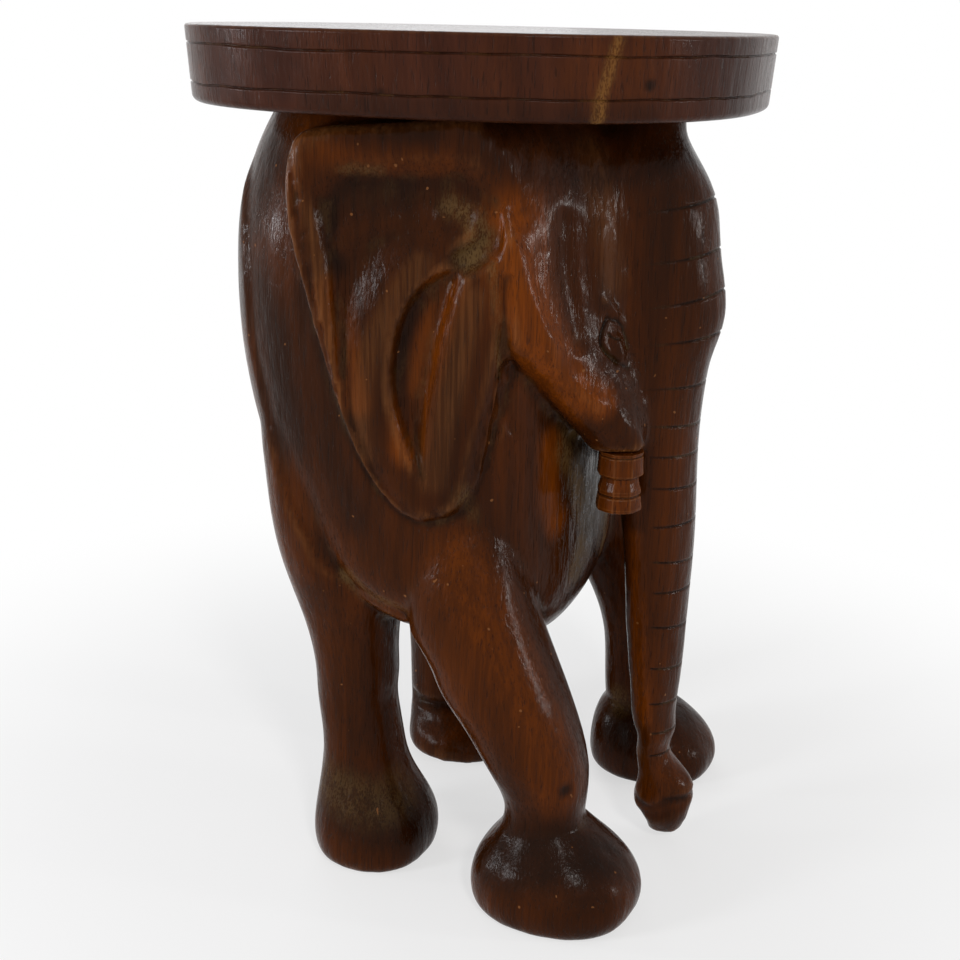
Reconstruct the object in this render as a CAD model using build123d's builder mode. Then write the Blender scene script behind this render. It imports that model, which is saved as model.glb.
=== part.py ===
"""Carved hardwood elephant stool: a walking elephant that carries a seat slab.

Frame: millimetres, +Z up, origin on the floor under the middle of the seat.
The elephant faces -Y, so its right side is -X.

Pieces: the seat slab, the elephant (carved from one log section), two tusk
stubs with round tenons, and four hidden dowels between the seat and the back.
"""

import os
from math import cos, copysign, pi, sin

from build123d import *

# ---------------------------------------------------------------- seat slab
stool_height = 440.0
seat_length = 286.0  # along Y, the way the elephant walks
seat_width = 284.0  # along X
seat_thickness = 36.0
seat_power = 2.4  # 2 is an ellipse, larger is squarer
rim_draft = 2.5  # how much smaller the underside is, all round
top_edge_round = 1.6
bottom_edge_round = 3.0
upper_groove_drop = 8.0  # below the top face
lower_groove_drop = 25.5
groove_width = 1.4
groove_depth = 1.2

# ------------------------------------------------------------------- joints
dowel_diameter = 12.0
dowel_length = 40.0
dowel_in_seat = 18.0
dowel_spacing_across = 104.0
dowel_spacing_along = 96.0
dowel_chamfer = 1.0
joint_clearance = 0.1  # round the dowels and the tusk tenons
hole_end_room = 1.0  # glue room at the bottom of each blind hole
glue_line = 0.2  # between a tusk stub's shoulder and the jaw
cut_overrun = 5.0  # how far a cutting form starts outside the wood

# --------------------------------------------------------------------- body
belly_height = 124.0  # floor to the lowest point of the belly
body_centre = 24.5  # Y of the middle of the barrel, behind the seat's middle
body_half_length = 93.5
body_half_width = 108.0
body_power = 2.5

# --------------------------------------------------------------------- head
jaw_height = 242.0
brow_front = -129.5  # Y of the foremost point of the forehead
face_half_width = 33.0  # the ringed front panel, at the brow
cheek_half_width = 101.0  # across the ear roots
head_back = 5.0  # Y where the head's form ends, deep inside the barrel

# -------------------------------------------------------------------- trunk
trunk_tip_height = 6.0
trunk_depth = 32.0

# --------------------------------------------------------------------- ears
ear_root_x = 98.0  # outer face of the ear where it joins the head
ear_root_y = -47.5
ear_rear_x = 126.0  # outer face at the free rear edge
ear_rear_y = 50.3
ear_tip_height = 212.0
ear_top_gap = 6.0  # between the ear's top edge and the seat
ear_thickness = 26.0  # down into the flank, so that it is one with the body
ear_edge_chamfer = 3.0

# --------------------------------------------------------------------- legs
fore_leg_spread = 82.0  # X of the right fore foot's middle, and of the left
hind_leg_spread = 66.0
fore_foot_half_length = 43.0
hind_foot_half_length = 35.0
ankle_half_length = 21.5

# --------------------------------------------------------------- tusk stubs
tusk_spread = 42.0
tusk_y = -91.5
tusk_radius = 12.0
tusk_bands = ((13.0, 1.00), (10.0, 0.90), (8.0, 0.97))  # height, share of radius
tusk_facets = 8
tenon_diameter = 10.0
tenon_length = 16.0

# --------------------------------------------------------------------- tail
tail_half_width = 6.0
tail_stand_out = 3.5

back_height = stool_height - seat_thickness


def signed_power(value, exponent):
    """The exponent of a number's size, with the number's own sign."""
    return copysign(abs(value) ** exponent, value)


def oval_points(centre, half_x, half_y, power, count=16):
    """Points round a superellipse, starting at its front end."""
    points = []
    for step in range(count):
        turn = 2 * pi * step / count - pi / 2
        points.append(
            (
                centre[0] + half_x * signed_power(cos(turn), 2 / power),
                centre[1] + half_y * signed_power(sin(turn), 2 / power),
            )
        )
    return points


def slice_at(height, points):
    """One closed, smooth slice of a carved form, lying level at a height."""
    with BuildSketch(Plane.XY.offset(height)) as outline:
        with BuildLine():
            Spline(*points, periodic=True)
        make_face()
    return outline.sketch


def oval_at(height, centre, half_x, half_y, power=2.0, count=16):
    """One superelliptic slice, lying level at a height."""
    return slice_at(height, oval_points(centre, half_x, half_y, power, count))


def mirrored_slice(height, half_points):
    """A slice that is symmetrical about X = 0.

    half_points run from the front, on the centre line, round the -X side to
    the back, on the centre line.
    """
    other_side = [(-x, y) for x, y in reversed(half_points[1:-1])]
    return slice_at(height, half_points + other_side)


# ----------------------------------------------------------- carved members
# Barrel: share of the height from belly to back, then the rear reach, the
# front reach and the half width as shares of the body's own. The last slice
# lies above the back, where the form is cut flat for the seat.
barrel_profile = [
    (0.00, -0.20, 0.68, 0.22),
    (0.035, 0.00, 0.86, 0.54),
    (0.09, 0.19, 0.95, 0.80),
    (0.15, 0.38, 0.99, 0.94),
    (0.21, 0.56, 1.00, 0.975),
    (0.30, 0.74, 1.00, 0.985),
    (0.42, 0.89, 1.00, 1.00),
    (0.55, 0.98, 0.99, 1.01),
    (0.69, 1.01, 0.98, 1.01),
    (0.81, 0.99, 0.97, 0.99),
    (0.88, 0.95, 0.96, 0.96),
    (0.95, 0.87, 0.93, 0.91),
    (1.03, 0.74, 0.88, 0.83),
]


def barrel_slices():
    """The egg-shaped barrel, from the belly up past the flat under the seat."""
    slices = []
    for rise, rear, front, width in barrel_profile:
        rear_y = body_centre + rear * body_half_length
        front_y = body_centre - front * body_half_length
        slices.append(
            oval_at(
                belly_height + rise * (back_height - belly_height),
                (0, (rear_y + front_y) / 2),
                width * body_half_width,
                (rear_y - front_y) / 2,
                body_power,
            )
        )
    return slices


# Head: share of the height from jaw to back, then the Y of the cheek where it
# meets the face, the cheek's half width as a share and its Y at the ear, how
# far the cheek swells in front of a straight line between the two, the width
# behind the cheek as a share of it, and how far the back comes forward there.
head_profile = [
    (0.00, -98.0, 0.52, -80.0, 16.0, 0.72, 75.0),
    (0.04, -99.0, 0.55, -77.0, 16.0, 0.72, 67.0),
    (0.14, -97.5, 0.65, -67.0, 15.0, 0.70, 50.0),
    (0.27, -94.5, 0.80, -55.0, 10.0, 0.72, 25.0),
    (0.37, -91.0, 0.95, -49.0, 6.0, 0.80, 0.0),
    (0.56, -90.0, 1.00, -43.0, 3.0, 0.80, 0.0),
    (0.72, -90.0, 0.98, -40.0, 3.0, 0.80, 0.0),
    (0.83, -86.5, 0.95, -38.0, 3.0, 0.80, 0.0),
    (0.93, -78.0, 0.92, -37.0, 3.0, 0.80, 0.0),
    (1.04, -64.0, 0.86, -35.0, 3.0, 0.80, 0.0),
]


def head_slices():
    """The head behind the face: sloping cheeks that run back to the ears."""
    slices = []
    for rise, face_y, cheek, cheek_y, swell, tuck, forward in head_profile:
        side_x = -0.85 * face_half_width
        cheek_x = -cheek * cheek_half_width
        back_y = head_back - forward
        slices.append(
            mirrored_slice(
                jaw_height + rise * (back_height - jaw_height),
                [
                    (0, face_y + 3),
                    (0.5 * side_x, face_y + 2),
                    (side_x, face_y + 2),
                    ((side_x + cheek_x) / 2, (face_y + cheek_y) / 2 - swell),
                    (cheek_x, cheek_y),
                    (tuck * cheek_x, (cheek_y + back_y) / 2),
                    (0, back_y),
                ],
            )
        )
    return slices


# Face and trunk, one ringed strip: share of the height from the tip to the
# back, how far the front lies behind the foremost point of the brow, the half
# width as a share of the face's, how far the side's front corner lies behind
# the front, and the depth as a share of the trunk's.
face_profile = [
    (0.000, 3.0, 0.18, 4.0, 0.34),
    (0.020, -0.5, 0.34, 11.0, 0.60),
    (0.040, -2.5, 0.43, 14.0, 0.80),
    (0.062, -4.0, 0.45, 16.0, 0.95),
    (0.082, -2.5, 0.45, 16.0, 0.86),
    (0.106, 6.0, 0.43, 12.0, 0.58),
    (0.140, 11.0, 0.47, 10.0, 0.46),
    (0.186, 9.5, 0.54, 11.5, 0.60),
    (0.237, 8.3, 0.61, 13.5, 0.69),
    (0.305, 7.3, 0.67, 15.0, 0.81),
    (0.415, 6.3, 0.76, 15.5, 0.94),
    (0.500, 6.8, 0.80, 16.5, 1.05),
    (0.595, 7.8, 0.87, 17.5, 1.23),
    (0.655, 6.6, 0.94, 22.0, 1.60),
    (0.705, 3.4, 0.98, 28.0, 1.82),
    (0.750, -0.5, 1.00, 36.0, 1.95),
    (0.805, 2.0, 1.01, 33.5, 1.90),
    (0.865, 5.5, 1.00, 29.0, 1.85),
    (0.920, 12.5, 1.00, 24.0, 1.70),
    (0.970, 24.5, 0.97, 21.0, 1.55),
    (1.020, 41.0, 0.94, 19.0, 1.45),
]


def face_slices():
    """The face and the hanging trunk: a rounded front on two flat sides."""
    slices = []
    for rise, setback, width, corner_back, depth in face_profile:
        front_y = brow_front + setback
        half = width * face_half_width
        rear_y = front_y + depth * trunk_depth
        slices.append(
            mirrored_slice(
                trunk_tip_height + rise * (back_height - trunk_tip_height),
                [
                    (0, front_y),
                    (-0.62 * half, front_y + 0.28 * corner_back),
                    (-half, min(front_y + corner_back, rear_y - 1)),
                    (-0.92 * half, rear_y),
                    (0, rear_y + 1.5),
                ],
            )
        )
    return slices


# Legs: height above the floor, how far the slice's middle lies inside the
# foot's middle, Y of its middle, and half width along X and half length along
# Y as shares of the ankle's half length.
right_fore_leg_profile = [
    (30.0, 0.0, -71.0, 0.92, 0.94),
    (52.0, 0.0, -71.0, 0.95, 0.96),
    (66.0, 0.0, -70.3, 1.03, 1.04),
    (80.0, 0.0, -66.3, 1.20, 1.21),
    (97.0, 0.0, -59.3, 1.34, 1.35),
    (111.0, 0.0, -51.8, 1.43, 1.46),
    (132.0, 1.0, -41.3, 1.52, 1.51),
    (151.0, 2.0, -31.7, 1.56, 1.56),
    (172.0, 4.0, -25.0, 1.52, 1.51),
    (190.0, 8.0, -20.5, 1.48, 1.46),
    (208.0, 12.0, -16.0, 1.40, 1.44),
    (228.0, 16.0, -13.0, 1.30, 1.40),
    (246.0, 20.0, -11.0, 1.10, 1.35),
]
left_fore_leg_profile = [
    (25.0, 0.0, -79.5, 0.94, 0.90),
    (48.0, 0.0, -79.5, 0.96, 0.92),
    (69.0, 0.0, -79.0, 1.00, 0.95),
    (89.0, 0.0, -78.0, 1.06, 0.98),
    (108.0, 1.0, -75.0, 1.12, 1.06),
    (124.0, 1.0, -70.0, 1.20, 1.18),
    (146.0, 2.0, -60.0, 1.36, 1.34),
    (168.0, 4.0, -48.0, 1.46, 1.46),
    (190.0, 8.0, -38.0, 1.46, 1.48),
    (208.0, 12.0, -30.0, 1.40, 1.46),
    (228.0, 16.0, -25.0, 1.30, 1.40),
    (246.0, 20.0, -21.0, 1.10, 1.35),
]
right_hind_leg_profile = [
    (0.0, -2.0, 31.5, 1.34, 1.28),
    (4.0, -1.5, 31.5, 1.54, 1.46),
    (12.0, -0.5, 31.8, 1.63, 1.56),
    (26.0, 0.0, 32.8, 1.54, 1.50),
    (39.0, 0.0, 35.5, 1.32, 1.30),
    (56.0, 0.0, 38.6, 1.10, 1.07),
    (80.0, 0.0, 41.4, 1.05, 0.98),
    (104.0, 0.0, 43.0, 1.09, 1.00),
    (128.0, 0.0, 44.7, 1.20, 1.07),
    (150.0, 2.0, 48.0, 1.42, 1.29),
    (172.0, 4.0, 52.0, 1.64, 1.50),
    (196.0, 5.0, 54.5, 1.76, 1.61),
    (224.0, 6.0, 55.5, 1.82, 1.68),
    (252.0, 7.0, 55.5, 1.86, 1.74),
    (284.0, 9.0, 54.5, 1.92, 1.84),
]
left_hind_leg_profile = [
    (14.0, 0.0, 43.0, 1.00, 0.96),
    (36.0, 0.0, 43.5, 1.00, 0.98),
    (60.0, 0.0, 44.0, 1.02, 0.99),
    (84.0, 0.0, 45.0, 1.05, 1.01),
    (106.0, 0.0, 46.0, 1.10, 1.05),
    (128.0, 0.0, 48.0, 1.22, 1.16),
    (150.0, 2.0, 52.0, 1.42, 1.40),
    (172.0, 4.0, 54.0, 1.64, 1.60),
    (196.0, 5.0, 55.5, 1.76, 1.66),
    (224.0, 6.0, 56.0, 1.82, 1.70),
    (252.0, 7.0, 56.0, 1.86, 1.76),
    (284.0, 9.0, 55.0, 1.92, 1.88),
]


def leg_slices(profile, spread, side):
    """One leg, from its foot up into the barrel; side is -1 or +1."""
    slices = []
    for height, inward, centre_y, width, length in profile:
        slices.append(
            oval_at(
                height,
                (side * (spread - inward), centre_y),
                width * ankle_half_length,
                length * ankle_half_length,
                2.2,
                12,
            )
        )
    return slices


# Feet that are set off from their legs by a crease: height, Y of the middle,
# half length as a share of the foot's own, half width as a share of that.
right_fore_foot_profile = [
    (0.0, -77.5, 0.88, 0.86),
    (4.0, -78.0, 0.98, 0.85),
    (13.0, -78.5, 1.04, 0.84),
    (26.0, -78.0, 0.97, 0.85),
    (37.0, -76.5, 0.78, 0.88),
    (45.0, -74.5, 0.60, 0.92),
    (50.0, -72.5, 0.50, 1.00),
]
left_fore_foot_profile = [
    (0.0, -90.5, 0.76, 0.90),
    (4.0, -91.0, 0.86, 0.90),
    (12.0, -91.0, 0.90, 0.90),
    (22.0, -89.5, 0.86, 0.90),
    (32.0, -86.0, 0.74, 0.92),
    (41.0, -81.0, 0.54, 1.00),
]
left_hind_foot_profile = [
    (0.0, 29.5, 0.89, 1.12),
    (4.0, 29.5, 0.96, 1.10),
    (12.0, 30.5, 0.95, 1.06),
    (20.0, 35.0, 0.83, 0.98),
    (27.0, 39.0, 0.70, 1.00),
]


def foot_slices(profile, half_length, spread, side):
    """One foot, flat on the floor; side is -1 for right and +1 for left."""
    slices = []
    for height, centre_y, length, slimness in profile:
        half = length * half_length
        centre = (side * spread, centre_y)
        slices.append(oval_at(height, centre, slimness * half, half, 2.3, 12))
    return slices


# Tail: height, how far its middle lies in front of the rearmost point of the
# barrel, and its half width as a share.
tail_profile = [
    (330.0, 8.5, 0.7),
    (314.0, 8.0, 0.9),
    (290.0, 8.5, 0.9),
    (262.0, 12.0, 0.8),
    (238.0, 18.0, 0.8),
    (220.0, 25.0, 1.3),
    (203.0, 34.0, 0.9),
]


def tail_slices():
    """The tail, in low relief down the rump, with a thicker tuft."""
    rearmost = body_centre + body_half_length
    half_depth = tail_half_width + tail_stand_out
    slices = []
    for height, forward, width in tail_profile:
        centre = (0, rearmost - forward)
        slices.append(oval_at(height, centre, width * tail_half_width, half_depth, 2.0, 12))
    return slices


# --------------------------------------------------------------- seat slab
dowel_points = [
    (side * dowel_spacing_across / 2, end * dowel_spacing_along / 2)
    for end in (-1, 1)
    for side in (-1, 1)
]
dowel_hole_radius = dowel_diameter / 2 + joint_clearance

# Heights where the rim changes, from the back up: it is set in at two grooves.
rim_levels = [back_height]
for drop in (lower_groove_drop, upper_groove_drop):
    rim_levels += [stool_height - drop - groove_width, stool_height - drop]
rim_levels.append(stool_height)


def rim_outline(height, recess):
    """The slab's outline at a height, set in by the draft and a recess."""
    inset = recess + rim_draft * (stool_height - height) / seat_thickness
    return oval_at(
        height, (0, 0), seat_width / 2 - inset, seat_length / 2 - inset, seat_power, 32
    )


with BuildPart() as seat_slab:
    for level, (low, high) in enumerate(zip(rim_levels, rim_levels[1:])):
        recess = groove_depth if level % 2 else 0
        loft([rim_outline(low, recess), rim_outline(high, recess)], ruled=True, clean=False)
    with BuildSketch(Plane.XY.offset(back_height)):
        with Locations(*dowel_points):
            Circle(dowel_hole_radius)
    extrude(
        amount=dowel_in_seat + hole_end_room,
        clean=False,
        mode=Mode.SUBTRACT,
    )
    fillet(edges().group_by(Axis.Z)[-1], top_edge_round)
    underside_rim = edges().group_by(Axis.Z)[0].sort_by(SortBy.LENGTH)[-1]
    fillet(underside_rim, bottom_edge_round)

# ------------------------------------------------------------------- ears
ear_run = Vector(ear_rear_x - ear_root_x, ear_rear_y - ear_root_y)
ear_top = back_height - ear_top_gap
# The right ear's outline on its own plane: how far it lies forward of the free
# rear edge as a share of the ear's width, and its height as a share of the
# ear's own. It starts at the top of the rear edge.
ear_outline = [
    (across * ear_run.length, ear_tip_height + rise * (ear_top - ear_tip_height))
    for across, rise in [
        (0.04, 0.96),
        (0.00, 0.86),
        (0.02, 0.74),
        (0.09, 0.58),
        (0.19, 0.38),
        (0.32, 0.18),
        (0.46, 0.06),
        (0.62, 0.00),
        (0.76, 0.01),
        (0.86, 0.08),
        (0.93, 0.25),
        (1.00, 0.47),
        (1.00, 0.70),
        (1.00, 0.90),
        (0.95, 1.00),
        (0.60, 1.02),
        (0.20, 1.00),
    ]
]
ear_plane = Plane(
    origin=(-ear_rear_x, ear_rear_y, 0),
    x_dir=(ear_run.X, -ear_run.Y, 0),
    z_dir=(-ear_run.Y, -ear_run.X, 0),
)
with BuildPart() as right_ear:
    with BuildSketch(ear_plane):
        with BuildLine():
            Spline(*ear_outline, periodic=True)
        make_face()
    extrude(amount=-ear_thickness)
    chamfer(faces().filter_by(ear_plane).sort_by(Axis.X)[0].edges(), ear_edge_chamfer)

# --------------------------------------------------------- elephant carving
with BuildPart() as elephant_carving:
    loft(barrel_slices())
    loft(head_slices(), clean=False)
    loft(face_slices(), clean=False)
    with BuildSketch(Plane.XY.offset(jaw_height - cut_overrun)):
        with Locations((-tusk_spread, tusk_y), (tusk_spread, tusk_y)):
            Circle(tenon_diameter / 2 + joint_clearance)
    extrude(
        amount=cut_overrun + tenon_length + hole_end_room,
        clean=False,
        mode=Mode.SUBTRACT,
    )
    loft(leg_slices(right_fore_leg_profile, fore_leg_spread, -1), clean=False)
    loft(leg_slices(left_fore_leg_profile, fore_leg_spread, 1), clean=False)
    loft(leg_slices(right_hind_leg_profile, hind_leg_spread, -1), clean=False)
    loft(leg_slices(left_hind_leg_profile, hind_leg_spread, 1), clean=False)
    loft(foot_slices(right_fore_foot_profile, fore_foot_half_length, fore_leg_spread, -1), clean=False)
    loft(foot_slices(left_fore_foot_profile, fore_foot_half_length, fore_leg_spread, 1), clean=False)
    loft(foot_slices(left_hind_foot_profile, hind_foot_half_length, hind_leg_spread, 1), clean=False)
    loft(tail_slices(), clean=False)
    add(right_ear.part, clean=False)
    add(mirror(right_ear.part, Plane.YZ), clean=False)
    with BuildSketch(Plane.XY.offset(back_height)):
        Rectangle(seat_width, seat_length)
    extrude(amount=seat_thickness, clean=False, mode=Mode.SUBTRACT)
    with BuildSketch(Plane.XY.offset(back_height + cut_overrun)):
        with Locations(*dowel_points):
            Circle(dowel_hole_radius)
    extrude(
        amount=-(cut_overrun + dowel_length - dowel_in_seat + hole_end_room),
        clean=False,
        mode=Mode.SUBTRACT,
    )

# ------------------------------------------------------------- tusk stubs
tusk_stubs = {}
for tusk_name, side in (("tusk_stub_right", -1), ("tusk_stub_left", 1)):
    with BuildPart() as tusk_stub:
        shoulder_height = jaw_height - glue_line
        band_top = shoulder_height
        for band_height, share in tusk_bands:
            with BuildSketch(Plane.XY.offset(band_top)):
                with Locations((side * tusk_spread, tusk_y)):
                    RegularPolygon(share * tusk_radius, tusk_facets)
            extrude(amount=-band_height)
            band_top -= band_height
        with BuildSketch(Plane.XY.offset(shoulder_height)):
            with Locations((side * tusk_spread, tusk_y)):
                Circle(tenon_diameter / 2)
        extrude(amount=tenon_length)
    tusk_stubs[tusk_name] = tusk_stub.part

# ----------------------------------------------------------------- dowels
seat_dowels = {}
dowel_names = (
    "seat_dowel_front_right",
    "seat_dowel_front_left",
    "seat_dowel_rear_right",
    "seat_dowel_rear_left",
)
for dowel_name, place in zip(dowel_names, dowel_points):
    with BuildPart() as seat_dowel:
        with BuildSketch(Plane.XY.offset(back_height + dowel_in_seat)):
            with Locations(place):
                Circle(dowel_diameter / 2)
        extrude(amount=-dowel_length)
        chamfer(edges().filter_by(GeomType.CIRCLE), dowel_chamfer)
    seat_dowels[dowel_name] = seat_dowel.part

# ----------------------------------------------------------------- export
os.makedirs("parts", exist_ok=True)

seat_slab.part.label = "seat_slab"
export_step(seat_slab.part, "parts/seat_slab.step")

elephant_carving.part.label = "elephant_carving"
export_step(elephant_carving.part, "parts/elephant_carving.step")

for piece_name, piece in {**tusk_stubs, **seat_dowels}.items():
    piece.label = piece_name
    export_step(piece, f"parts/{piece_name}.step")
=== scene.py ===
"""Looks of the carved elephant stool: one walking elephant under a seat slab.

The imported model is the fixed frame. Lengths in this file are millimetres, in
the model's own axes, and become metres where a mesh or an object is made;
only lamps and surface relief are given in metres. The elephant faces -Y, and
its right side is -X.
"""

import logging
import math
from collections.abc import Sequence
from dataclasses import dataclass
from enum import Enum

import bmesh
import bpy
import numpy as np
from mathutils import Matrix, Vector


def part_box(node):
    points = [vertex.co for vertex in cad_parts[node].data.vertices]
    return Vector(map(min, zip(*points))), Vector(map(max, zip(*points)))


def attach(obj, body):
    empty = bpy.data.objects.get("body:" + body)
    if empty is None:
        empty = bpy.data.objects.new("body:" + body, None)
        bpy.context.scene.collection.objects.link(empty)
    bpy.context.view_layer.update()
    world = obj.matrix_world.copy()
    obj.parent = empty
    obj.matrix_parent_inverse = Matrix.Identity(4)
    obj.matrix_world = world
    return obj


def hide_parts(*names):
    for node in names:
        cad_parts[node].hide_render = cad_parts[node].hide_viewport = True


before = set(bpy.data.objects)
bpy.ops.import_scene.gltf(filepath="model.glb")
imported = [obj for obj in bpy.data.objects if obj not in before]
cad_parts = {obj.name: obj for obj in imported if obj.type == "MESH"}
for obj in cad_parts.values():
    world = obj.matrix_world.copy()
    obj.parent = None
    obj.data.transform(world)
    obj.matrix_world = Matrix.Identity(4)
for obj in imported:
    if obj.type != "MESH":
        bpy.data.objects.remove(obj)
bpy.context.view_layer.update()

MM = 0.001
WELD = 0.00001
log = logging.getLogger("elephant_stool")

Path = Sequence[tuple[float, ...]]
Triple = tuple[float, float, float]
Span = tuple[float, float]
Colour = tuple[float, float, float, float]
Socket = bpy.types.NodeSocket
Amount = Socket | float | int
Place = Socket | Triple
Dressing = tuple[tuple[float, int], tuple[float, int]]


# ------------------------------------------------------------------ helpers
def smoothstep(low: float, high: float, value: np.ndarray) -> np.ndarray:
    """Rises from 0 at low to 1 at high, with a level start and end."""
    share = np.clip((value - low) / (high - low), 0.0, 1.0)
    return share * share * (3.0 - 2.0 * share)


def soft_least(first: np.ndarray, second: np.ndarray, blend: float) -> np.ndarray:
    """The smaller of two values, rounded where they meet over a blend."""
    share = np.clip(0.5 + 0.5 * (second - first) / blend, 0.0, 1.0)
    return second + (first - second) * share - blend * share * (1.0 - share)


def distance_to_path(points: np.ndarray, path: Path) -> np.ndarray:
    """Distance of each point to a path of straight runs.

    Args:
        points: The points, one row each.
        path: Corners of the path, with as many coordinates as the points.

    Returns:
        The distance of each point to the nearest place on the path.
    """
    nearest = np.full(len(points), np.inf)
    corners = np.asarray(path, float)
    for start, end in zip(corners[:-1], corners[1:]):
        run = end - start
        along = np.clip(((points - start) @ run) / (run @ run), 0.0, 1.0)
        gap = np.linalg.norm(points - start - along[:, None] * run, axis=1)
        nearest = np.minimum(nearest, gap)
    return nearest


def side_of_path(points: np.ndarray, path: Path) -> np.ndarray:
    """Signed distance to a flat path, whose ends run on for ever.

    Args:
        points: Flat points, one row each.
        path: Corners of the path.

    Returns:
        The distance of each point, positive on the left of the path's
        direction.
    """
    best = np.full(len(points), np.inf)
    signed = np.zeros(len(points))
    corners = np.asarray(path, float)
    last = len(corners) - 2
    for index, (start, end) in enumerate(zip(corners[:-1], corners[1:])):
        run = end - start
        low = -np.inf if index == 0 else 0.0
        high = np.inf if index == last else 1.0
        along = np.clip(((points - start) @ run) / (run @ run), low, high)
        offset = points - start - along[:, None] * run
        gap = np.linalg.norm(offset, axis=1)
        turn = run[0] * offset[:, 1] - run[1] * offset[:, 0]
        signed = np.where(gap < best, np.sign(turn) * gap, signed)
        best = np.minimum(best, gap)
    return signed


def rounded_path(corners: Path, steps: int = 6) -> list[tuple[float, ...]]:
    """Runs a smooth curve through the corners (Catmull-Rom).

    Args:
        corners: The points that the curve passes; one point gives a dot.
        steps: How many straight runs go from one corner to the next.

    Returns:
        The points of the curve.
    """
    points = np.asarray(corners, float)
    if len(points) == 1:
        return [tuple(points[0]), tuple(points[0] + 0.01)]
    ends = np.vstack([2 * points[0] - points[1], points, 2 * points[-1] - points[-2]])
    curve = []
    for index in range(1, len(ends) - 2):
        before, start, end, after = ends[index - 1 : index + 3]
        slope = end - before
        bend = 2 * before - 5 * start + 4 * end - after
        twist = 3 * start - before - 3 * end + after
        for step in range(steps):
            t = step / steps
            curve.append(0.5 * (2 * start + slope * t + bend * t**2 + twist * t**3))
    curve.append(points[-1])
    return [tuple(point) for point in curve]


def inside_outline(points: np.ndarray, outline: Path) -> np.ndarray:
    """Tells which flat points lie inside a closed outline.

    Args:
        points: The points, one row each.
        outline: Corners of the outline, in order.

    Returns:
        True for each point inside.
    """
    corners = np.asarray(outline, float)
    inside = np.zeros(len(points), bool)
    for start, end in zip(corners, np.roll(corners, -1, axis=0)):
        crosses = (start[1] > points[:, 1]) != (end[1] > points[:, 1])
        rise = end[1] - start[1]
        if rise:
            reach = start[0] + (points[:, 1] - start[1]) * (end[0] - start[0]) / rise
            inside ^= crosses & (points[:, 0] < reach)
    return inside


def store(mesh: bpy.types.Mesh, name: str, values: np.ndarray) -> None:
    """Keeps one number for each vertex as an attribute of the mesh."""
    attribute = mesh.attributes.get(name) or mesh.attributes.new(name, "FLOAT", "POINT")
    attribute.data.foreach_set("value", values.astype(np.float32))


def add_object(name: str, data: bpy.types.ID) -> bpy.types.Object:
    """Makes an object and puts it in the scene.

    Args:
        name: The object's name.
        data: Its mesh, lamp or camera.

    Returns:
        The object, unturned at the origin.
    """
    made = bpy.data.objects.new(name, data)
    bpy.context.scene.collection.objects.link(made)
    return made


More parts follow.
